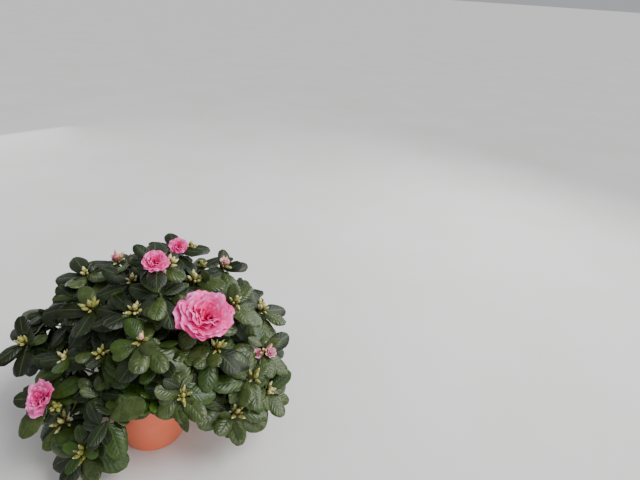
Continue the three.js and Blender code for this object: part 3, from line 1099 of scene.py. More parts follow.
@dataclass(frozen=True)
class LeafPose:
    """Where a leaf starts, where it points, which way its upper side faces, and its length."""

    base: Array
    direction: Array
    upper: Array
    length: float

    @classmethod
    def opened(
        cls, base: Array, axis: Array, outward: Array, opening: float, length: float,
    ) -> "LeafPose":
        """A leaf that opens from an axis and sags a little.

        Args:
            base: where the leaf starts.
            axis: the way that its whorl faces.
            outward: the way that it opens to, square to the axis.
            opening: its angle from the axis in degrees.
            length: its length.

        Returns:
            The pose.
        """
        angle = math.radians(opening)
        direction = unit(axis * math.cos(angle) + outward * math.sin(angle) - UP * LEAF.sag)
        return cls(base, direction, squared(axis, direction), length)

    def changed(self, scale: float, shift: Array | float = 0.0) -> "LeafPose":
        """The leaf made shorter or longer, and moved."""
        return LeafPose(self.base + shift, self.direction, self.upper, self.length * scale)

    @property
    def side(self) -> Array:
        """The way to the leaf's left rim."""
        return np.cross(self.upper, self.direction)

    def spots(self, ratio: float, shares: tuple[Pair, ...]) -> Array:
        """Spots on the drooping leaf.

        Args:
            ratio: the leaf's width as a share of its length.
            shares: each spot's share of the length and of the half width.

        Returns:
            One point a row.
        """
        half = self.length * ratio / 2.0
        return np.array([
            self.base + self.direction * along * self.length + self.side * across * half
            - self.upper * LEAF.droop * self.length * along ** 2
            for along, across in shares
        ])


@dataclass
class GrownLimb:
    """A limb with its bough's curve and radii, and the shoots that part at its hub."""

    limb: Limb
    curve: Arch
    radii: Pair
    hub: Array
    shoots: list[Shoot] = field(default_factory=list)


def trunk_point(share: float) -> Array:
    """A point on the trunk's middle line, from its cut on the soil to its fork."""
    foot = np.array([0.0, 0.0, HABIT.soil_top + GAP])
    return foot + heading(HABIT.lean_bearing, 90.0 - HABIT.trunk_lean) * HABIT.trunk_height * share


class Growth:
    """Grows every limb and shoot by the part's rule, from the limbs' own sizes."""

    def __init__(self) -> None:
        """Grows the limbs in their order, because side limbs start on earlier ones."""
        self.curves: dict[str, Arch] = {}
        self.limbs = [self._grow(order, limb) for order, limb in enumerate(LIMBS)]

    def _root(self, order: int, limb: Limb) -> tuple[Array, Array, Pair]:
        """Sets a limb against what carries it: the trunk's top, a fork of the trunk or another limb.

        Args:
            order: the limb's number.
            limb: the limb.

        Returns:
            Where it starts, the way it leaves, and its radii at both ends.
        """
        if order == 0:
            return trunk_point(1.0) + UP * GAP, UP, HABIT.bough_radii
        if not limb.on:
            share, rise, away = HABIT.forks[order % len(HABIT.forks)]
            start = trunk_point(share) + heading(limb.bearing, 0.0) * away
            return start, heading(limb.bearing, rise), HABIT.bough_radii
        carrier = self.curves[limb.on]
        base = carrier.point(np.array(HABIT.side_at))
        tangent = carrier.tangent(HABIT.side_at)
        away = squared(place(limb.bearing, limb.reach, limb.height) - base, tangent)
        leaving = unit(away + tangent * HABIT.side_forward)
        tilt = math.sqrt(1.0 - float(leaving @ away) ** 2)
        surface = blend(*HABIT.bough_radii, HABIT.side_at) + GAP + HABIT.side_radii[0] * tilt
        return base + away * surface, leaving, HABIT.side_radii

    def _grow(self, order: int, limb: Limb) -> GrownLimb:
        """Grows a limb: its bough's curve up to its hub, and the shoots that part there.

        Args:
            order: the limb's number.
            limb: the limb.

        Returns:
            The grown limb.
        """
        middle = place(limb.bearing, limb.reach, limb.height)
        entering = heading(limb.bearing, limb.slope)
        hub = middle - entering * HABIT.depth
        start, leaving, radii = self._root(order, limb)
        curve = Arch(start, leaving, hub - entering * HABIT.stem, entering, HABIT.bough_shares)
        self.curves[limb.name] = curve
        grown = GrownLimb(limb, curve, radii, hub)
        for index, (kind, tip) in enumerate(self._tips(limb, middle)):
            axis = unit(tip - np.array(HABIT.crown_root))
            axis = unit(axis + heading(0.0, HABIT.light_rise) * HABIT.light_pull)
            arch = Arch(hub, entering, tip, axis, HABIT.twig_shares)
            seen = SEEN.get((limb.name, index), UNSEEN)
            draws = shoot_draws(Seed.SHOOTS, order, index)
            shift = SIGHT.nudge(tip, seen.nudge) - tip
            grown.shoots.append(Shoot(limb, kind, tip, axis, arch, draws, seen, shift))
        return grown

    @staticmethod
    def _tips(limb: Limb, middle: Array) -> list[tuple[str, Array]]:
        """Sets a limb's tips in a ring on the crown's round, with those of its heart set back inside.

        Args:
            limb: the limb.
            middle: the middle of its mass.

        Returns:
            Each tip's kind and place.
        """
        outward = unit(middle - np.array(HABIT.crown_middle))
        level, rising = cross_frame(outward)
        ring = [
            (kind, limb.fan, math.radians(limb.turn + 360.0 * index / len(limb.tips)), 0.0)
            for index, kind in enumerate(limb.tips)
        ]
        made = []
        heart = [(kind, 0.0, 0.0, HABIT.heart_dip) for kind in limb.heart]
        for kind, distance, angle, dip in ring + heart:
            tip = (
                middle + level * distance * math.cos(angle) + rising * distance * math.sin(angle)
                - outward * (dip + distance ** 2 / HABIT.roundness)
            )
            made.append((kind, tip))
        return made


@dataclass
class Seat:
    """Where a blossom sits: its shoot, its foot, the way it faces, its radius and how pale it is."""

    shoot: Shoot
    foot: Array
    axis: Array
    radius: float
    opening: bool
    paler: int = 0
    heart: float = 0.35
    guard: float = 0.9

    def hides(self, points: Array, margin: float) -> bool:
        """Whether any of the points is inside the blossom or nearly so."""
        middle = self.foot + self.axis * self.radius * self.heart
        return bool((np.linalg.norm(points - middle, axis=1) < self.radius * self.guard + margin).any())


@dataclass(frozen=True)
class Seating:
    """Works out where the blossoms sit."""

    own_way: float = 0.35
    bud_radius: float = 11.0
    bud_lean: float = 0.5
    bud_rise: float = 20.0

    def seats(self, growth: Growth) -> list[Seat]:
        """The seats of every blossom and opening bud.

        Args:
            growth: the grown limbs.

        Returns:
            The seats, limb by limb.
        """
        made = []
        for shoot in (shoot for grown in growth.limbs for shoot in grown.shoots):
            if not TIPS[shoot.kind].bloom:
                continue
            own = shoot.seen.blossom or Blossom(TIPS[shoot.kind].bloom)
            foot = SIGHT.nudge(shoot.tip + shoot.shift, own.nudge)
            axis = shoot.axis
            if own.faces:
                axis = unit(axis * self.own_way + heading(*own.faces))
            made.append(Seat(shoot, foot, axis, own.radius, shoot.kind == "o", own.paler))
            if shoot.seen.bud_beside:
                beside = SIGHT.nudge(foot, shoot.seen.bud_beside)
                lean = unit(axis + heading(0.0, self.bud_rise) * self.bud_lean)
                made.append(Seat(shoot, beside, lean, self.bud_radius, True))
        return made


@dataclass(frozen=True)
class Pot:
    """The plastic pot, with the sizes of the part's own profile, in millimetres."""

    base_radius: float = 48.0
    shoulder_radius: float = 59.6
    top_radius: float = 65.0
    height: float = 108.0
    rim_height: float = 19.0
    wall: float = 1.6
    floor: float = 2.2
    edge: float = 1.2
    ledge: float = 1.6
    segments: int = 128
    holes: int = 6
    hole_radius: float = 4.5
    hole_circle: float = 33.0
    hole_sides: int = 24
    spacing: float = 4.0
    sharp: float = 40.0

    def _profile(self) -> Array:
        """The section from the middle underneath, out, up, over the rim and down to the floor's middle.

        Returns:
            Radius and height of each point, no further apart than the spacing.
        """
        shoulder = self.height - self.rim_height
        band = self.top_radius - self.wall
        corners = np.array([
            (0.01, 0.0), (self.base_radius - self.edge, 0.0),
            (self.base_radius - 0.3 * self.edge, 0.3 * self.edge), (self.base_radius, self.edge),
            (self.shoulder_radius, shoulder), (band - 0.5, shoulder + 0.5 * self.ledge),
            (band, shoulder + self.ledge), (self.top_radius, self.height - self.edge),
            (self.top_radius - 0.1, self.height - 0.4 * self.edge),
            (self.top_radius - self.wall / 3, self.height),
            (self.top_radius - self.wall, self.height - 0.1), (band - self.wall, shoulder + 2 * self.ledge),
            (self.shoulder_radius - self.wall, shoulder + self.ledge),
            (self.base_radius - self.wall, self.floor), (0.01, self.floor),
        ])
        parts = []
        for near, far in zip(corners, corners[1:]):
            count = max(1, int(np.linalg.norm(far - near) / self.spacing))
            parts.append(near + (far - near) * np.arange(count)[:, None] / count)
        return np.concatenate([*parts, corners[-1:]])

    def _turned(self) -> bpy.types.Object:
        """The profile turned round the pot's axis: radius along the cosine and sine of the angle.

        Returns:
            The pot without its holes.
        """
        profile = self._profile()
        angle = ring_angles(self.segments)
        ring = np.stack([np.cos(angle), np.sin(angle)], axis=-1)
        flat = profile[:, None, :1] * ring[None]
        level = np.broadcast_to(profile[:, None, 1:], (*flat.shape[:2], 1))
        points = np.concatenate([flat, level], axis=-1)
        uvs = pairs(np.linspace(0.0, 1.0, len(profile)), angle / FULL_TURN)
        pieces = Pieces()
        pieces.add(points, grid_faces(len(profile), self.segments, closed=True), uvs)
        return pieces.build("pot_body", [POT_FINISH.material()])

    def build(self) -> None:
        """Makes the pot and cuts its drain holes through the floor."""
        pot = self._turned()
        drills = Pieces()
        for index in range(self.holes):
            centre = place(360.0 * (index + 0.5) / self.holes, self.hole_circle, 0.0)
            path = centre + UP * np.linspace(-2 * self.floor, 2 * self.floor, 3)[:, None]
            drills.add(*tube(path, np.full(3, self.hole_radius), self.hole_sides))
        drill = drills.build("drills", [pot.data.materials[0]], smooth=False)
        cut = pot.modifiers.new("holes", "BOOLEAN")
        cut.operation = "DIFFERENCE"
        cut.solver = "EXACT"
        cut.object = drill
        bpy.context.view_layer.update()
        drilled = pot.evaluated_get(bpy.context.evaluated_depsgraph_get())
        cut_mesh = bpy.data.meshes.new_from_object(drilled)
        pot.modifiers.clear()
        pot.data = cut_mesh
        bpy.data.objects.remove(drill)
        cut_mesh.set_sharp_from_angle(angle=math.radians(self.sharp))
        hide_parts("pot")


@dataclass(frozen=True)
class Soil:
    """The soil in the pot: a lumpy crust over crumbs of peat and bark."""

    top: float = 94.0
    radius: float = 58.6
    foot_radius: float = 46.0
    foot: float = 3.0
    lump: float = 1.3
    flat: Pair = (12.0, 20.0)
    sloping_from: float = 50.0
    slope_drop: float = 1.5
    rings: int = 34
    segments: int = 96
    crumbs: int = 320
    crumb: Pair = (0.9, 2.2)
    crumb_form: Row = (0.35, 0.8, 0.75, 0.3)
    crumb_tilt: float = 25.0
    strewn: Pair = (15.0, 0.93)

    def _crust(self, pieces: Pieces) -> None:
        """Adds the soil's body: a polar grid whose height is a sum of waves, over a plain tapered side.

        The waves die out on the flat round the trunk, and the crust slopes down to the pot's wall.

        Args:
            pieces: the piece that it joins.
        """
        reach = np.linspace(0.3, self.radius, self.rings)
        angle = ring_angles(self.segments)
        out, turn = np.meshgrid(reach, angle, indexing="ij")
        x = out * np.cos(turn)
        y = out * np.sin(turn)
        waves = (
            np.sin(0.31 * x + 1.1) * np.sin(0.27 * y + 0.4) + 0.6 * np.sin(0.9 * x - 0.5 * y)
            + 0.5 * np.sin(1.3 * y + 0.7 * x + 2.0) + 0.4 * np.sin(2.1 * x + 1.7 * y)
        )
        inner = smooth_step(out, *self.flat)
        outer = smooth_step(out, self.sloping_from, self.radius)
        level = self.top + self.lump * 0.5 * waves * inner - self.slope_drop * outer
        upper = np.stack([x, y, level], axis=-1)[::-1]
        foot_x = self.foot_radius * np.cos(turn[:1])
        foot_y = self.foot_radius * np.sin(turn[:1])
        side = np.stack([foot_x, foot_y, np.full_like(foot_x, self.foot)], axis=-1)
        base = side * [0.01, 0.01, 1.0]
        points = np.concatenate([base, side, upper])
        rows = len(points)
        uvs = pairs(np.linspace(0.0, 1.0, rows), angle / FULL_TURN)
        pieces.add(points, grid_faces(rows, self.segments, closed=True), uvs)

    def build(self) -> None:
        """Makes the crust with crumbs strewn over it."""
        pieces = Pieces()
        self._crust(pieces)
        draws = Draws(Seed.SOIL)
        nearest, furthest = self.strewn
        form = np.array(self.crumb_form)
        for _ in range(self.crumbs):
            reach = self.radius * furthest * math.sqrt(draws.next())
            centre = place(draws.angle(), max(reach, nearest), self.top + 0.4)
            size = blend(*self.crumb, draws.next() ** 2)
            along = heading(draws.angle(), draws.spread(self.crumb_tilt)) * size
            path = centre + along * np.linspace(-1.0, 1.0, len(form))[:, None]
            pieces.add(*tube(path, size * form, 5), 1)
        soil = pieces.build("soil_crust", [SOIL_FINISH.material(), CRUMB_FINISH.material()])
        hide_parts("soil")


@dataclass(frozen=True)
class Wood:
    """The trunk and boughs, with ridged bark, and the twigs that the leaves sit on.

    Shares are of a limb's length from its foot. A limb runs a little past both of its ends, inside what
    it grows from and what grows from it.
    """

    trunk_rows: int = 70
    trunk_sides: int = 48
    trunk_ends: Pair = (-0.06, 1.04)
    trunk_flare: float = 0.4
    trunk_bark: float = 0.6
    roots: int = 5
    root_depth: float = 2.2
    root_top: float = 0.3
    crown_pinch: Pair = (0.97, 0.75)
    bough_rows: int = 56
    bough_sides: int = 14
    bough_ends: Pair = (-0.05, 1.03)
    bough_sunk: float = 3.6
    bough_swell: Pair = (0.35, 0.12)
    bough_wobble: float = 0.06
    ridge: float = 0.07
    ridges: tuple[tuple[int, float], ...] = ((2, 0.5), (3, 0.6), (5, 0.8), (8, 0.6))
    twig_sides: int = 6
    twig_rows: int = 7
    twig_knots: float = 0.08

    def _relief(self, rows: int, sides: int, radii: Array, seed: int) -> Array:
        """Bark ridges: waves round the limb that wander along it, and faint rings, by the radius.

        Args:
            rows: how many rings of vertices the limb has.
            sides: how many vertices a ring has.
            radii: the limb's radius at each ring.
            seed: where the limb's draws start.

        Returns:
            The offset from the radius for each ring and side.
        """
        draws = Draws(seed)
        along = np.linspace(0.0, 1.0, rows)[:, None]
        angle = ring_angles(sides)[None, :]
        relief = np.zeros((rows, sides))
        for ridges, amount in self.ridges:
            reach = 1.5 * math.sin(draws.spread(3.0))
            wander = reach * np.sin(along * (4.0 + 9.0 * draws.next()) + 6.0 * draws.next())
            relief += amount * np.sin(ridges * angle + wander + 6.0 * draws.next())
        rings = 0.5 * np.sin(along * rows * 0.8 + 3.0 * np.sin(angle + 2.0)) * np.sin(along * 23.0 + angle)
        return (relief + rings) * self.ridge * radii[:, None]

    def _trunk(self, pieces: Pieces) -> None:
        """Adds the trunk: a tube that flares into roots at its foot and closes inside its fork.

        Args:
            pieces: the piece that it joins.
        """
        share = np.linspace(*self.trunk_ends, self.trunk_rows)
        path = np.array([trunk_point(value) for value in share])
        flare = blend(HABIT.trunk_neck, HABIT.trunk_foot, 1.0 - smooth_step(share, 0.0, self.trunk_flare))
        taper = HABIT.trunk_top - HABIT.trunk_neck
        climb = taper * (share - self.trunk_flare) / (1.0 - self.trunk_flare)
        radii = np.where(share < self.trunk_flare, flare, HABIT.trunk_neck + climb)
        pinched_from, pinch = self.crown_pinch
        radii = radii * (1.0 - pinch * smooth_step(share, pinched_from, self.trunk_ends[1]))
        rooted = 1.0 - smooth_step(share, 0.0, self.root_top)
        turn = self.roots * ring_angles(self.trunk_sides) + 0.6
        roots = self.root_depth * rooted[:, None] * np.sin(turn)
        bark = self._relief(self.trunk_rows, self.trunk_sides, radii * self.trunk_bark, Seed.TRUNK)
        pieces.add(*tube(path, radii, self.trunk_sides, bark + roots))

    def _bough(self, pieces: Pieces, grown: GrownLimb, order: int) -> None:
        """Adds a bough: a tapered tube from inside what carries it to where its shoots part.

        Args:
            pieces: the piece that it joins.
            grown: the limb.
            order: the limb's number.
        """
        share = np.linspace(0.0, 1.0, self.bough_rows)
        path = grown.curve.point(share)
        leaving = unit(path[1] - path[0])
        path = np.concatenate([path[:1] - leaving * self.bough_sunk, path, grown.hub[None]])
        share = np.concatenate([self.bough_ends[:1], share, self.bough_ends[1:]])
        swell, swell_end = self.bough_swell
        radii = blend(*grown.radii, share)
        radii = radii * (1.0 + swell * (1.0 - smooth_step(share, self.bough_ends[0], swell_end)))
        wobble = 1.0 + self.bough_wobble * np.sin(share * 17.0 + order)
        relief = self._relief(len(path), self.bough_sides, radii, Seed.BOUGHS + order)
        pieces.add(*tube(path, radii * wobble, self.bough_sides, relief))

    def build(self, growth: Growth) -> None:
        """Makes the trunk and boughs as one piece of bark.

        Args:
            growth: the grown limbs.
        """
        pieces = Pieces()
        self._trunk(pieces)
        for order, grown in enumerate(growth.limbs):
            self._bough(pieces, grown, order)
        bark = pieces.build("bark_limbs", [BARK_FINISH.material()])
        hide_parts("trunk", *(f"bough_{limb.name}" for limb in LIMBS))

    def add_twig(self, pieces: Pieces, path: Array, radii: Pair) -> None:
        """Adds a twig: a tapered tube along a path, a little thicker in evenly spaced knots.

        Args:
            pieces: the piece that it joins.
            path: the twig's middle line.
            radii: its radii at its foot and tip.
        """
        share = np.linspace(0.0, 1.0, len(path))
        thickness = blend(*radii, share) * (1.0 + self.twig_knots * np.sin(share * 31.0))
        pieces.add(*tube(path, thickness, self.twig_sides))


@dataclass(frozen=True)
class Blade:
    """The form of one leaf: rounded at its tip, narrow at its foot, its edges rolled down.

    Rows are shares of the length and columns are shares of the half width. The heights are those of
    the columns, as shares of the half width there. Each leaf's own bend, twist, droop and roll lie
    within the amounts or ends given.
    """

    rows: Row = (0.0, 0.07, 0.19, 0.35, 0.53, 0.7, 0.85, 0.95, 1.0)
    columns: Row = (-1.0, -0.6, -0.045, 0.045, 0.6, 1.0)
    heights: Row = (-0.26, 0.04, -0.06, -0.06, 0.04, -0.26)
    under_columns: Row = (-1.0, 0.0, 1.0)
    rib: int = 2
    stalk: float = 0.06
    stalk_half: float = 0.9
    widest: float = 0.6
    tip_from: float = 0.9
    tip_half: float = 0.26
    below: float = 0.7
    ratio: float = 0.57
    width_spread: float = 0.08
    bend: float = 0.07
    twist: float = 0.22
    droop: Pair = (0.75, 1.25)
    roll: Pair = (0.6, 1.5)
    wave: float = 0.07

    def _outline(self, share: Array) -> Array:
        """The leaf's outline: a long rise to the widest place, then a fall to a round tip.

        Args:
            share: shares of the length.

        Returns:
            The half width there, as a share of the widest.
        """
        along = np.clip((share - self.stalk) / (1.0 - self.stalk), 0.0, 1.0)
        rise = (along / self.widest) ** 0.75
        fall = ((1.0 - along) / (1.0 - self.widest)) ** 0.5
        return np.maximum(rise * fall, np.where(share > self.tip_from, self.tip_half, 0.0))

    def add(self, pieces: Pieces, poses: list[LeafPose], tones: list[Tone], draws: Draws) -> None:
        """Adds leaves to a piece, each bent, rolled and waved in its own way.

        A point of a leaf is its foot, plus its share of the length along the leaf, plus its column's
        share of the half width to the side, plus upwards the column's height, a wave that grows to the
        edges and less the droop, which grows with the square of the share of the length.

        Args:
            pieces: the piece that the leaves join.
            poses: where each leaf is.
            tones: which green each leaf has.
            draws: the source of the leaves' small differences.
        """
        rows = np.array(self.rows)
        own = np.array([
            [*(draws.spread(1) for _ in range(3)), draws.next(), draws.spread(1), draws.next()]
            for _ in poses
        ])[:, :, None, None]
        length = np.array([pose.length for pose in poses])[:, None, None]
        half = length * self.ratio / 2.0 * (1.0 + self.width_spread * own[:, 0])
        width = np.maximum(half * self._outline(rows)[None, :, None], self.stalk_half)
        along = rows[None, :, None]
        bend = self.bend * own[:, 1]
        twist = self.twist * own[:, 2]
        droop = LEAF.droop * blend(*self.droop, own[:, 3])
        phase = 3.0 * own[:, 4]
        roll = blend(*self.roll, own[:, 5])
        base, direction, side, upper = [
            np.array([getattr(pose, name) for pose in poses])[:, None, None]
            for name in ("base", "direction", "side", "upper")
        ]

        def surface(columns: Array, heights: Array, lower: Array) -> Array:
            """Works out one side of every leaf.

            Args:
                columns: shares of the half width.
                heights: each column's height, as a share of the half width.
                lower: how far each column is set down, in millimetres.

            Returns:
                Points by leaf, row and column.
            """
            across = columns[None, None, :] * width + bend * length * along ** 2
            wave = self.wave * np.sin(along * 13.0 + phase + columns * 1.4) * np.abs(columns) * width
            height = heights * roll * width + wave + across * twist * along
            height = height - droop * length * along ** 2 - lower
            return (
                base + direction * (along * length)[..., None] + side * across[..., None]
                + upper * height[..., None]
            )

        columns = np.array(self.columns)
        top = surface(columns, np.array(self.heights), np.zeros(len(columns)))
        under_columns = np.array(self.under_columns)
        rim = self.heights[0]
        under = surface(
            under_columns, np.array([rim, self.heights[self.rib], rim]), np.array([0.0, self.below, 0.0]),
        )
        top_faces = grid_faces(len(rows), len(columns), closed=False)[:, ::-1]
        under_faces = grid_faces(len(rows), len(under_columns), closed=False)
        is_rib = np.arange(len(top_faces)) % (len(columns) - 1) == self.rib
        greens = np.array([tone.value for tone in tones])
        looks = np.where(is_rib[None, :], len(LEAF_FINISHES), greens[:, None])
        under_looks = np.full((len(poses), len(under_faces)), len(LEAF_FINISHES) + 1)
        self._join(pieces, top, top_faces, pairs(rows, (columns + 1.0) / 2.0), looks)
        self._join(pieces, under, under_faces, pairs(rows, (under_columns + 1.0) / 2.0), under_looks)

    @staticmethod
    def _join(
        pieces: Pieces, points: Array, faces: Array, uvs: Array, looks: Array,
    ) -> None:
        """Adds one side of every leaf, with its faces repeated for each.

        Args:
            pieces: the piece that the leaves join.
            points: points by leaf, row and column.
            faces: one leaf's faces.
            uvs: one leaf's UVs.
            looks: each leaf's material numbers, face by face.
        """
        count = len(points)
        each = points[0].size // 3
        shifted = faces[None] + (np.arange(count) * each)[:, None, None]
        pieces.add(points, shifted.reshape(-1, 4), np.tile(uvs.reshape(-1, 2), (count, 1)), looks.ravel())


@dataclass(frozen=True)
class Clearance:
    """What leaves keep clear of: the floor, the pot, the blossoms and what the photograph shows.

    Windows are pixels of the photograph: left, top, right and bottom. The pot's front shows in one and
    the floor behind the leaves in the others. shown holds the tips that are in view.
    """

    shown: Array
    lowest: float = 14.0
    pot_clearance: float = 74.0
    pot_top: float = 114.0
    pot_front: float = 20.0
    pot_window: Window = (129.0, 420.0, 179.0, 455.0)
    floor_windows: tuple[Window, ...] = (
        (46.0, 322.0, 60.0, 334.0), (76.0, 367.0, 98.0, 377.0), (68.0, 402.0, 84.0, 422.0),
        (98.0, 418.0, 116.0, 428.0),
    )
    tip_window: float = 7.5
    tip_margin: float = 2.0
    bloom_margin: float = 1.0
    shortened: Row = (1.0, 0.85, 0.7, 0.58)
    spots: tuple[Pair, ...] = (
        (1.0, 0.0), (0.85, 0.7), (0.85, -0.7), (0.6, 0.9), (0.6, -0.9), (0.55, 0.0),
    )
    tip_spots: int = 4

    @staticmethod
    def _inside(places: Array, window: Window) -> Array:
        """Whether each place, in pixels across and down, is inside a window."""
        low, high = np.array(window).reshape(2, 2)
        return ((places > low) & (places < high)).all(axis=1)

    def _hides(self, pose: LeafPose) -> bool:
        """Whether a leaf would hide the pot's front, the floor in its windows or a tip in view.

        Args:
            pose: the leaf.

        Returns:
            True when one of its spots is in such a window, or close before such a tip.
        """
        points = pose.spots(Blade.ratio, self.spots)
        places = SIGHT.pixels(points)
        before_pot = self._inside(places, self.pot_window) & (points[:, 1] < self.pot_front)
        if before_pot[:self.tip_spots].any():
            return True
        if any(self._inside(places, window).any() for window in self.floor_windows):
            return True
        apart = np.linalg.norm(places[:, None] - SIGHT.pixels(self.shown)[None], axis=-1)
        nearer = SIGHT.depths(points)[:, None] < SIGHT.depths(self.shown)[None] + self.tip_margin
        return bool(((apart < self.tip_window) & nearer).any())

    def _fits(self, pose: LeafPose, seats: list[Seat], highest: float) -> bool:
        """Whether a leaf stays over the floor, outside the pot and out of the blossoms.

        Args:
            pose: the leaf.
            seats: the blossoms.
            highest: how high it may reach.

        Returns:
            True when its middle and its tip do.
        """
        ends = np.array([pose.base + pose.direction * pose.length * share for share in (0.5, 1.0)])
        ends = ends - pose.upper * LEAF.droop * pose.length
        reach = np.linalg.norm(ends[:, :2], axis=1)
        in_pot = (ends[:, 2] < self.pot_top) & (reach < self.pot_clearance)
        if in_pot.any() or any(seat.hides(ends, self.bloom_margin) for seat in seats):
            return False
        return bool(ends[:, 2].min() > self.lowest and ends[:, 2].max() < highest)

    def kept(self, poses: list[LeafPose], seats: list[Seat], highest: float) -> list[LeafPose]:
        """The leaves that fit, each as long as it can be without hiding what the photograph shows.

        Args:
            poses: the leaves.
            seats: the blossoms that they stay clear of.
            highest: how high they may reach.

        Returns:
            Those that are left.
        """
        made = []
        for pose in poses:
            tries = (pose.changed(share) for share in self.shortened)
            clear = next((shorter for shorter in tries if not self._hides(shorter)), None)
            if clear is not None and self._fits(clear, seats, highest):
                made.append(clear)
        return made


@dataclass
class Sprig:
    """A fine side twig that ends in a small whorl of leaves of a length."""

    path: Array
    axis: Array
    length: float
    inner: bool


@dataclass(frozen=True)
class Sprigs:
    """Fine side twigs: some along each shoot, and leafier ones inside the crown along its bough.

    Shares are of the shoot's or the bough's length. A sprig leaves it outwards and a little forwards,
    then turns up to the light. Its leaves are a spiral that opens from its tip downwards.
    """

    shoot_shares: Row = (0.4, 0.62, 0.82)
    shoot_turn: float = 150.0
    bough_shares: Row = (0.5, 0.6, 0.7, 0.8, 0.9, 0.98)
    turn_spread: float = 25.0
    length: Pair = (9.0, 20.0)
    inner_longer: float = 1.5
    forward: float = 0.7
    lift: float = 0.9
    bends: Pair = (0.33, 0.33)
    steps: int = 4
    leaves: int = 5
    leaf_length: Pair = (24.0, 36.0)
    leaf_turn_spread: float = 9.0
    opening: float = 48.0
    opening_step: float = 9.0
    opening_spread: float = 8.0
    start: float = 1.0
    step: float = 1.2

    def grow(self, grown: GrownLimb, draws: Draws) -> list[Sprig]:
        """Grows the sprigs of a limb.

        Args:
            grown: the limb.
            draws: the limb's numbers.

        Returns:
            The shoots' sprigs, then the bough's.
        """
        made = []
        for shoot in grown.shoots:
            turn = draws.angle()
            for number, share in enumerate(self.shoot_shares):
                sprig = self._sprig(shoot.curve, share, turn + self.shoot_turn * number, draws)
                sprig.path = sprig.path + shoot.shift * share
                made.append(sprig)
        turn = draws.angle()
        for number, share in enumerate(self.bough_shares):
            made.append(self._sprig(grown.curve, share, turn + GOLDEN_TURN * number, draws, inner=True))
        return made

    def _sprig(
        self, curve: Arch, share: float, turn: float, draws: Draws, inner: bool = False,
    ) -> Sprig:
        """Grows one sprig.

        Args:
            curve: the shoot or the bough that it leaves.
            share: where, as a share of the curve's length.
            turn: to which side, in degrees round the curve.
            draws: the limb's numbers.
            inner: whether it is one of those inside the crown.

        Returns:
            The sprig.
        """
        foot = curve.point(np.array(share))
        tangent = curve.tangent(share)
        outward = spoke(tangent, math.radians(turn + draws.spread(self.turn_spread)))
        leaving = unit(outward + tangent * self.forward)
        length = draws.within(self.length) * (self.inner_longer if inner else 1.0)
        axis = unit(leaving + UP * self.lift)
        arch = Arch(foot, leaving, foot + unit(leaving + axis) * length, axis, self.bends)
        path = arch.point(np.linspace(0.0, 1.0, self.steps))
        return Sprig(path, axis, draws.within(self.leaf_length), inner)

    def leaf_poses(self, sprig: Sprig, draws: Draws) -> list[LeafPose]:
        """The leaves of a sprig.

        Args:
            sprig: the sprig.
            draws: the limb's numbers.

        Returns:
            Their poses, from the tip down.
        """
        phase = draws.angle()
        poses = []
        for index in range(self.leaves):
            turn = phase + LEAF.turn * index + draws.spread(self.leaf_turn_spread)
            opening = self.opening + self.opening_step * index + draws.spread(self.opening_spread)
            outward = spoke(sprig.axis, math.radians(turn))
            base = sprig.path[-1] - sprig.axis * (self.start + self.step * index) + outward * LEAF.seat
            length = sprig.length * (0.85 + 0.3 * draws.next())
            poses.append(LeafPose.opened(base, sprig.axis, outward, opening, length))
        return poses


# Painted shade: leaves of the inner sprigs, deep in the crown, take the deepest greens, and the masses that
# GREENS doesn't list, mostly on the back and left away from the sun, take mostly the dark and deepest ones.
INNER_SHADE_GREENS = (Tone.DEEP, Tone.DEEP, Tone.DARK)
SHADED_SIDE_GREENS = (Tone.DARK, Tone.DEEP, Tone.DARK, Tone.GREY)
# Painted light: the masses on the sunlit right and front take the lighter grey copy more often, for their
# sheen. The fresh and young greens are the leaves' own.
GREENS = {
    "low_front": (Tone.YOUNG, Tone.YOUNG, Tone.FRESH),
    "front_left": (Tone.DARK, Tone.FRESH, Tone.YOUNG, Tone.GREY),
    "front": (Tone.GREY, Tone.FRESH, Tone.DARK, Tone.GREY),
    "right": (Tone.GREY, Tone.GREY, Tone.FRESH, Tone.DARK),
    "low_right": (Tone.GREY, Tone.FRESH, Tone.GREY, Tone.GREY),
    "low_back_right": (Tone.GREY, Tone.FRESH, Tone.GREY),
    "low_left": (Tone.DARK, Tone.GREY, Tone.FRESH),
    "high_left": (Tone.DARK, Tone.GREY, Tone.FRESH, Tone.DARK),
    "high_right": (Tone.DARK, Tone.GREY),
}


@dataclass
class Leaves:
    """The leaves of one mass, with the green of each."""

    poses: list[LeafPose] = field(default_factory=list)
    tones: list[Tone] = field(default_factory=list)

    def add(self, poses: list[LeafPose], greens: tuple[Tone, ...], draws: Draws) -> None:
        """Adds leaves, each in one of a few greens."""
        self.poses += poses
        self.tones += [draws.pick(greens) for _ in poses]


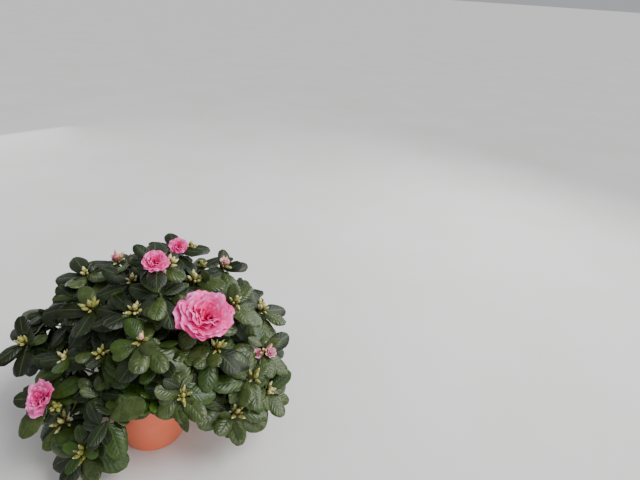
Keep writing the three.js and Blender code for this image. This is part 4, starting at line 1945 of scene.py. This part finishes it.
@dataclass(frozen=True)
class Foliage:
    """The leaves of every mass: the source's own whorls, then finer sprigs within the same reach.

    A leaf of a whorl is seated where the mass's solid has one: where enough of its corners lie within
    a match of the solid's own. Where it has none, the leaf is shorter.
    """

    blade: Blade = Blade()
    sprigs: Sprigs = Sprigs()
    match: float = 0.5
    matched: int = 2
    unseated: float = 0.72
    bud_draws: int = 5
    below_tip: float = 2.0
    over_tip: float = 8.0
    whorl_top: float = 400.0
    sprig_top: float = 262.0
    twig_foot: float = 2.1
    sprig_radii: Pair = (1.1, 0.8)

    def _seated(self, tree: KDTree, pose: LeafPose) -> bool:
        """Whether the mass's solid has this leaf: its own corners are there."""
        corners = pose.spots(LEAF.width_ratio, LEAF.corners)
        near = [tree.find(corner * METRES)[2] < self.match * METRES for corner in corners]
        return sum(near) >= self.matched

    def _whorl(self, shoot: Shoot, tree: KDTree) -> list[LeafPose]:
        """The leaves of a shoot's whorl.

        Args:
            shoot: the shoot.
            tree: the corners of the mass's solid, in metres.

        Returns:
            Their poses, moved and scaled to what the photograph shows.
        """
        if TIPS[shoot.kind].buds:
            for _ in range(self.bud_draws):
                shoot.draws.next()
        poses = []
        for slot in shoot.slots():
            tries = (shoot.pose(slot, change) for change in LEAF.retries)
            seated = next((pose for pose in tries if self._seated(tree, pose)), None)
            pose = seated or shoot.pose(slot).changed(self.unseated)
            poses.append(pose.changed(shoot.seen.scale, shoot.shift))
        return poses

    def _standing_out(self, shoot: Shoot) -> list[LeafPose]:
        """The leaves of a shoot that the photograph shows and the rule doesn't give.

        Args:
            shoot: the shoot.

        Returns:
            Their poses, each from just below the shoot's tip to the leaf's own end.
        """
        base = shoot.tip + shoot.shift - shoot.axis * self.below_tip
        poses = []
        for end in shoot.seen.ends:
            reach = SIGHT.nudge(base, end) - base
            direction = unit(reach)
            length = float(np.linalg.norm(reach))
            poses.append(LeafPose(base, direction, squared(shoot.axis, direction), length))
        return poses

    @staticmethod
    def _solid_corners(node: str) -> KDTree:
        """Sorts the corners of a mass's solid, so that the nearest one to a point is found quickly.

        Args:
            node: the solid's node.

        Returns:
            The corners, in metres.
        """
        corners = frame["nodes"][node].data.vertices
        tree = KDTree(len(corners))
        for index, corner in enumerate(corners):
            tree.insert(corner.co, index)
        tree.balance()
        return tree

    def _grow(
        self, grown: GrownLimb, seats: list[Seat], clearance: Clearance, draws: Draws, wood: Wood,
        twigs: Pieces,
    ) -> Leaves:
        """Grows the leaves of one mass and adds their twigs.

        Args:
            grown: the limb.
            seats: the blossoms. A whorl stays clear of all but its own shoot's.
            clearance: what else the leaves stay clear of.
            draws: the mass's numbers.
            wood: makes the twigs.
            twigs: the piece that the twigs join.

        Returns:
            The leaves.
        """
        leaves = Leaves()
        greens = GREENS.get(grown.limb.name, SHADED_SIDE_GREENS)
        tree = self._solid_corners(f"foliage_{grown.limb.name}")
        share = np.linspace(0.0, 1.0, wood.twig_rows)
        for shoot in grown.shoots:
            others = [seat for seat in seats if seat.shoot is not shoot]
            poses = self._whorl(shoot, tree) + self._standing_out(shoot)
            leaves.add(clearance.kept(poses, others, self.whorl_top), greens, draws)
            path = shoot.curve.point(share) + shoot.shift * share[:, None]
            wood.add_twig(twigs, path, (self.twig_foot, HABIT.twig_radii[1]))
        for sprig in self.sprigs.grow(grown, draws):
            poses = clearance.kept(self.sprigs.leaf_poses(sprig, draws), seats, self.sprig_top)
            # Painted shade: leaves of the inner sprigs take the deepest greens.
            leaves.add(poses, INNER_SHADE_GREENS if sprig.inner else greens, draws)
            if poses:
                wood.add_twig(twigs, sprig.path, self.sprig_radii)
        return leaves

    def build(self, growth: Growth, seats: list[Seat], wood: Wood) -> None:
        """Makes each mass's leaves as one piece, then the twigs of them all as another.

        Args:
            growth: the grown limbs.
            seats: the blossoms that the leaves stay clear of.
            wood: makes the twigs.
        """
        looks = [finish.material() for finish in (*LEAF_FINISHES, RIB_FINISH, UNDERLEAF_FINISH)]
        twigs = Pieces()
        clearance = Clearance(np.array([
            shoot.tip + shoot.axis * self.over_tip + shoot.shift
            for grown in growth.limbs for shoot in grown.shoots if shoot.seen.in_view
        ]))
        for order, grown in enumerate(growth.limbs):
            draws = Draws(Seed.LEAVES + order)
            made = self._grow(grown, seats, clearance, draws, wood, twigs)
            pieces = Pieces()
            self.blade.add(pieces, made.poses, made.tones, draws)
            leaves = pieces.build(f"leaves_{grown.limb.name}", looks)
            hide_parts(f"foliage_{grown.limb.name}")
        twig_piece = twigs.build("twigs_fine", [TWIG_FINISH.material()])
        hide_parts(*(f"foliage_{limb.name}" for limb in LIMBS))


@dataclass(frozen=True)
class Bud:
    """One bud: its place, its size, how far down its tip is cream and whether that tip blushes."""

    foot: Array
    axis: Array
    length: float
    radius: float
    ripe: float
    blush: bool = False


@dataclass(frozen=True)
class Buds:
    """Star-shaped clusters of pointed buds, husky at the foot, green, then cream at the tip.

    A cluster has one bud upright and others that lean out round it. Beside a small blossom stands a
    cluster of its own, moved along, across and below the shoot's tip.
    """

    length: float = 21.0
    radius: float = 3.1
    stalk: float = 0.24
    bend: float = 0.6
    rows: int = 12
    sides: int = 9
    husk_to: float = 0.4
    cream_from: float = 0.97
    scale_depth: float = 0.1
    ripest: float = 0.9
    blush_ripe: float = 1.3
    sizes: Pair = (0.8, 1.05)
    upright: float = 0.95
    upright_blush: float = 1.35
    upright_wider: float = 1.15
    outer: int = 6
    outer_sizes: Pair = (0.55, 1.05)
    seat: float = 1.5
    tilt: float = 42.0
    tilt_spread: float = 24.0
    turn_spread: float = 0.5
    beside: Triple = (17.0, 8.0, 2.0)
    beside_size: float = 0.8
    beside_lean: float = 0.5

    def _add_bud(self, pieces: Pieces, bud: Bud) -> None:
        """Adds a bud: a spindle with scales in a spiral.

        After a thin stalk the radius rises to a third of the length and falls to a point. The scales
        add a saw-edged wave that winds round the spindle.

        Args:
            pieces: the piece that the bud joins.
            bud: the bud.
        """
        share = np.linspace(0.0, 1.0, self.rows)
        swell = np.clip((share - self.stalk) / (1.0 - self.stalk), 0.0, 1.0)
        radii = bud.radius * (0.12 + swell / 0.38) ** 0.6 * ((1.0 - swell) / 0.62 + 0.02) ** 0.95
        level, _ = cross_frame(bud.axis)
        bend = level * (self.bend * np.sin(share * 3.0))[:, None]
        path = bud.foot + bud.axis * (share * bud.length)[:, None] + bend
        angle = np.linspace(0.0, 1.0, self.sides, endpoint=False)
        winding = share[:, None] * 4.0 + angle[None, :] * 2.0
        relief = (0.5 - winding % 1.0) * self.scale_depth * radii[:, None]
        bands = np.concatenate([
            np.repeat(share[:-1], self.sides), np.zeros(self.sides), np.ones(self.sides),
        ])
        tip = 3 if bud.blush else 2
        cream = self.cream_from - 0.4 * bud.ripe
        looks = np.where(bands < self.husk_to, 0, np.where(bands < cream, 1, tip))
        pieces.add(*tube(path, radii, self.sides, relief), looks)

    def _add_cluster(
        self, pieces: Pieces, foot: Array, axis: Array, draws: Draws, size: float = 1.0,
        blush: bool = False,
    ) -> None:
        """Adds a cluster.

        Args:
            pieces: the piece that the buds join.
            foot: where the buds meet.
            axis: the way of the upright one.
            draws: the cluster's numbers.
            size: how large it is, as a share of a full one.
            blush: whether its upright bud is long and has a pink tip.
        """
        ripe = self.ripest * draws.next()
        size *= draws.within(self.sizes)
        tall = self.length * size * (self.upright_blush if blush else self.upright)
        wide = self.radius * size * self.upright_wider
        self._add_bud(pieces, Bud(foot, axis, tall, wide, self.blush_ripe if blush else ripe, blush))
        count = self.outer + int(2 * draws.next())
        phase = 6.3 * draws.next()
        for index in range(count):
            outward = spoke(axis, phase + FULL_TURN * index / count + draws.spread(self.turn_spread))
            lean = math.radians(self.tilt + draws.spread(self.tilt_spread))
            direction = unit(axis * math.cos(lean) + outward * math.sin(lean))
            scale = size * draws.within(self.outer_sizes)
            start = foot + outward * self.seat - axis
            self._add_bud(pieces, Bud(start, direction, self.length * scale, self.radius * scale, ripe))

    def build(self, growth: Growth) -> None:
        """Makes every cluster, as one piece.

        Args:
            growth: the grown limbs.
        """
        pieces = Pieces()
        across, below, back = self.beside
        for order, grown in enumerate(growth.limbs):
            for index, shoot in enumerate(grown.shoots):
                draws = shoot_draws(Seed.BUDS, order, index)
                if TIPS[shoot.kind].buds:
                    foot = shoot.tip - shoot.axis + shoot.shift
                    self._add_cluster(pieces, foot, shoot.axis, draws, blush=shoot.seen.blushing)
                elif shoot.kind == "f":
                    level, rising = cross_frame(shoot.axis)
                    foot = shoot.tip + level * across - rising * below - shoot.axis * back
                    axis = unit(shoot.axis + level * self.beside_lean)
                    self._add_cluster(pieces, foot + shoot.shift, axis, draws, self.beside_size)
        looks = [finish.material() for finish in (BUD_HUSK, BUD_GREEN, BUD_CREAM, BUD_BLUSH)]
        buds = pieces.build("buds_clusters", looks)
        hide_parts(*(f"foliage_{grown.limb.name}" for grown in growth.limbs))


@dataclass(frozen=True)
class Whorl:
    """One ring of petals: how many, how long and wide, how far they open and how deep their colour is."""

    count: int
    length: float
    half: float
    opens: Pair
    ruffle: float
    looks: tuple[int, int, int, int]


@dataclass(frozen=True)
class Blossoms:
    """Double, ruffled blossoms: rings of petals that stand closer and closer towards the heart."""

    rows: int = 13
    columns: int = 19
    steps: int = 48
    length_spread: float = 0.05
    half_spread: float = 0.1
    opening_spread: float = 5.0
    turn_spread: float = 0.2
    lean_spread: float = 0.07
    ring_step: float = 0.6
    cup: float = 0.18
    bands: Row = (0.3, 0.64, 0.9)
    # How far the ruffle waves shift the colour bands: painted shade in the petals' dips and painted light
    # on their crests.
    painted_fold_shade: float = 0.05
    full: tuple[Whorl, ...] = (
        Whorl(7, 1.08, 0.54, (38.0, 89.0), 0.06, (1, 2, 3, 4)),
        Whorl(7, 1.0, 0.52, (29.0, 80.0), 0.075, (1, 2, 3, 4)),
        Whorl(7, 0.92, 0.47, (22.0, 66.0), 0.085, (1, 2, 3, 4)),
        Whorl(6, 0.84, 0.4, (15.0, 54.0), 0.105, (0, 1, 2, 4)),
        Whorl(6, 0.73, 0.33, (9.0, 40.0), 0.115, (0, 1, 2, 3)),
        Whorl(5, 0.61, 0.26, (5.0, 27.0), 0.12, (0, 1, 2, 3)),
        Whorl(4, 0.48, 0.2, (2.0, 15.0), 0.12, (0, 0, 1, 2)),
    )
    opening: tuple[Whorl, ...] = (
        Whorl(5, 1.35, 0.55, (18.0, 55.0), 0.05, (4, 5, 5, 5)),
        Whorl(5, 1.3, 0.45, (10.0, 34.0), 0.05, (4, 5, 5, 5)),
        Whorl(4, 1.15, 0.3, (3.0, 18.0), 0.05, (3, 4, 5, 5)),
    )

    def _add_petal(
        self, pieces: Pieces, seat: Seat, ring: Whorl, root: tuple[Array, ...], draws: Draws,
    ) -> None:
        """Adds a petal.

        Its middle line leaves the foot at one angle from the blossom's axis and ends at a wider one.
        Each point is on that line, moved to the side by its share of the half width, which grows along
        the petal, and along the petal's face by waves that grow with the square of the way out.

        Args:
            pieces: the piece that the petal joins.
            seat: the blossom that it belongs to.
            ring: the ring that it stands in.
            root: where it starts, the axis that it stands round, and the way outwards.
            draws: the blossom's numbers.
        """
        foot, axis, outward = root
        length = ring.length * seat.radius * (1.0 + draws.spread(self.length_spread))
        half = ring.half * seat.radius * (1.0 + draws.spread(self.half_spread))
        begins = math.radians(ring.opens[0])
        ends = math.radians(ring.opens[1] + draws.spread(self.opening_spread))
        steps = np.linspace(0.0, 1.0, self.steps)
        angle = begins + (ends - begins) * steps ** 1.3
        run = np.stack([np.cos(angle), np.sin(angle)], axis=-1) * length / (self.steps - 1)
        line = np.concatenate([[[0.0, 0.0]], np.cumsum(run[:-1], axis=0)])
        out = np.linspace(0.0, 1.0, self.rows)[:, None]
        across = np.linspace(-1.0, 1.0, self.columns)[None, :]
        phases = [6.3 * draws.next() for _ in range(4)]
        frill = 0.028 * np.sin(across * 6.0 + phases[0]) + 0.011 * np.sin(across * 15.0 + phases[1])
        way = np.clip(out * (0.96 - 0.16 * across ** 4) + frill * out ** 4, 0.0, 1.0)
        along = np.interp(way, steps, line[:, 0])
        away = np.interp(way, steps, line[:, 1])
        lean = np.interp(way, steps, angle)
        width = half * (out + 0.06) ** 0.7 * (1.0 - 0.14 * out ** 7)
        waves = np.sin(across * 4.4 + phases[2] + 1.5 * out)
        waves = waves + 0.38 * out * np.sin(across * 11.0 + phases[3])
        lift = ring.ruffle * length * waves * out ** 2 + self.cup * width * across ** 2
        side = np.cross(axis, outward)
        points = (
            foot + axis * (along + lift * np.sin(lean))[..., None]
            + outward * (away - lift * np.cos(lean))[..., None] + side * (across * width)[..., None]
        )
        uvs = np.stack(np.broadcast_arrays(way, (across + 1.0) / 2.0), axis=-1)
        # Painted shade and light: the colour bands shift with the ruffle waves, deeper where a petal dips
        # and paler on its crests. The deep heart and pale rim themselves are the petals' own colours.
        corners = way + self.painted_fold_shade * waves
        middles = (corners[:-1, :-1] + corners[1:, :-1] + corners[:-1, 1:] + corners[1:, 1:]) / 4.0
        looks = np.array(ring.looks)[np.digitize(middles, self.bands)]
        looks = np.minimum(looks + seat.paler, max(ring.looks))
        pieces.add(points, grid_faces(self.rows, self.columns, closed=False), uvs, looks.ravel())

    def _add_blossom(self, pieces: Pieces, seat: Seat, draws: Draws) -> None:
        """Adds a blossom or an opening bud: rings of petals round its axis.

        Args:
            pieces: the piece that the petals join.
            seat: where it is, and how large and pale.
            draws: the blossom's numbers.
        """
        for number, ring in enumerate(self.opening if seat.opening else self.full):
            phase = 6.3 * draws.next()
            foot = seat.foot + seat.axis * number * self.ring_step
            for index in range(ring.count):
                turn = phase + FULL_TURN * index / ring.count + draws.spread(self.turn_spread)
                outward = spoke(seat.axis, turn)
                axis = unit(seat.axis + outward * draws.spread(self.lean_spread))
                self._add_petal(pieces, seat, ring, (foot, axis, squared(outward, axis)), draws)

    def build(self, seats: list[Seat]) -> None:
        """Makes every blossom and opening bud as one piece.

        Args:
            seats: where they sit.
        """
        pieces = Pieces()
        for number, seat in enumerate(seats):
            self._add_blossom(pieces, seat, Draws(Seed.BLOSSOMS + number))
        petals = pieces.build("petals_blossoms", [finish.material() for finish in PETAL_FINISHES])
        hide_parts(*sorted({f"foliage_{seat.shoot.limb.name}" for seat in seats}))


def stand(thing: bpy.types.Object, ways: tuple[Array, ...], place_at: Triple | Array) -> None:
    """Puts an object in the scene.

    Args:
        thing: the object.
        ways: the unit vectors that its own three axes point along.
        place_at: its place in metres.
    """
    matrix = np.eye(4)
    matrix[:3, :3] = np.array(ways).T
    matrix[:3, 3] = place_at
    thing.matrix_world = Matrix(matrix.tolist())
    bpy.context.scene.collection.objects.link(thing)


@dataclass(frozen=True)
class Studio:
    """The camera where the photograph was taken from, a pale floor and soft lights, in metres.

    A soft light has a name, a place, a side and a power in watts. The sun has the way to where it comes
    from, its strength, and the angle in radians that softens it.
    """

    floor_half: float = 300.0
    sky: float = 0.44
    sky_colour: Colour = (0.95, 0.97, 1.0)
    sun: tuple[Triple, float, float] = ((0.6, -0.4, 0.9), 2.7, 0.6)
    sun_at: Triple = (0.0, 0.0, 2.0)
    lights: tuple[tuple[str, Triple, float, float], ...] = (
        ("window_light", (1.3, 0.5, 1.0), 1.0, 15.0),
        ("front_light", (0.35, -1.6, 0.55), 1.0, 7.0),
        ("back_light", (-0.7, 1.6, 0.6), 1.2, 4.5),
    )
    aim_height: float = 0.15

    def _camera(self) -> None:
        """Sets the camera."""
        data = bpy.data.cameras.new("camera")
        data.lens = SIGHT.lens
        data.sensor_width = SIGHT.sensor
        camera = bpy.data.objects.new("camera", data)
        right, down, forward = SIGHT.axes()
        stand(camera, (right, -down, -forward), np.array(SIGHT.eye) * METRES)
        bpy.context.scene.camera = camera

    def _floor(self) -> None:
        """Makes the floor: one flat sheet just under the pot."""
        half = self.floor_half
        mesh = bpy.data.meshes.new("floor")
        corners = [(-half, -half, 0), (half, -half, 0), (half, half, 0), (-half, half, 0)]
        mesh.from_pydata(corners, [], [(0, 1, 2, 3)])
        mesh.materials.append(FLOOR_FINISH.material())
        floor = bpy.data.objects.new("floor", mesh)
        bpy.context.scene.collection.objects.link(floor)

    @staticmethod
    def _lamp(name: str, kind: str, place_at: Triple, backward: Array, **settings: float) -> None:
        """Adds a lamp.

        Args:
            name: its name.
            kind: SUN, which lights evenly from far away, or AREA, a soft square.
            place_at: its place.
            backward: the way that its back faces.
            settings: its energy, and its angle or size.
        """
        data = bpy.data.lights.new(name, kind)
        for setting, value in settings.items():
            setattr(data, setting, value)
        level, rising = cross_frame(backward)
        stand(bpy.data.objects.new(name, data), (level, rising, backward), place_at)

    def build(self) -> None:
        """Sets the camera, floor, sky and lights."""
        self._camera()
        self._floor()
        world = bpy.data.worlds.new("sky")
        world.use_nodes = True
        background = world.node_tree.nodes["Background"]
        background.inputs["Color"].default_value = (*self.sky_colour, 1.0)
        background.inputs["Strength"].default_value = self.sky
        bpy.context.scene.world = world
        towards, power, spread = self.sun
        self._lamp("day_light", "SUN", self.sun_at, unit(np.array(towards)), energy=power, angle=spread)
        for name, place_at, size, power in self.lights:
            backward = unit(np.array(place_at) - UP * self.aim_height)
            self._lamp(name, "AREA", place_at, backward, energy=power, size=size)


def main() -> None:
    """Builds the scene in order: studio, pot, soil, wood, leaves with their twigs, buds and blossoms."""
    logging.basicConfig(level=logging.INFO, format="%(message)s")
    Studio().build()
    Pot().build()
    Soil().build()
    growth = Growth()
    wood = Wood()
    wood.build(growth)
    seats = Seating().seats(growth)
    Foliage().build(growth, seats, wood)
    Buds().build(growth)
    Blossoms().build(seats)


if __name__ == "__main__":
    main()
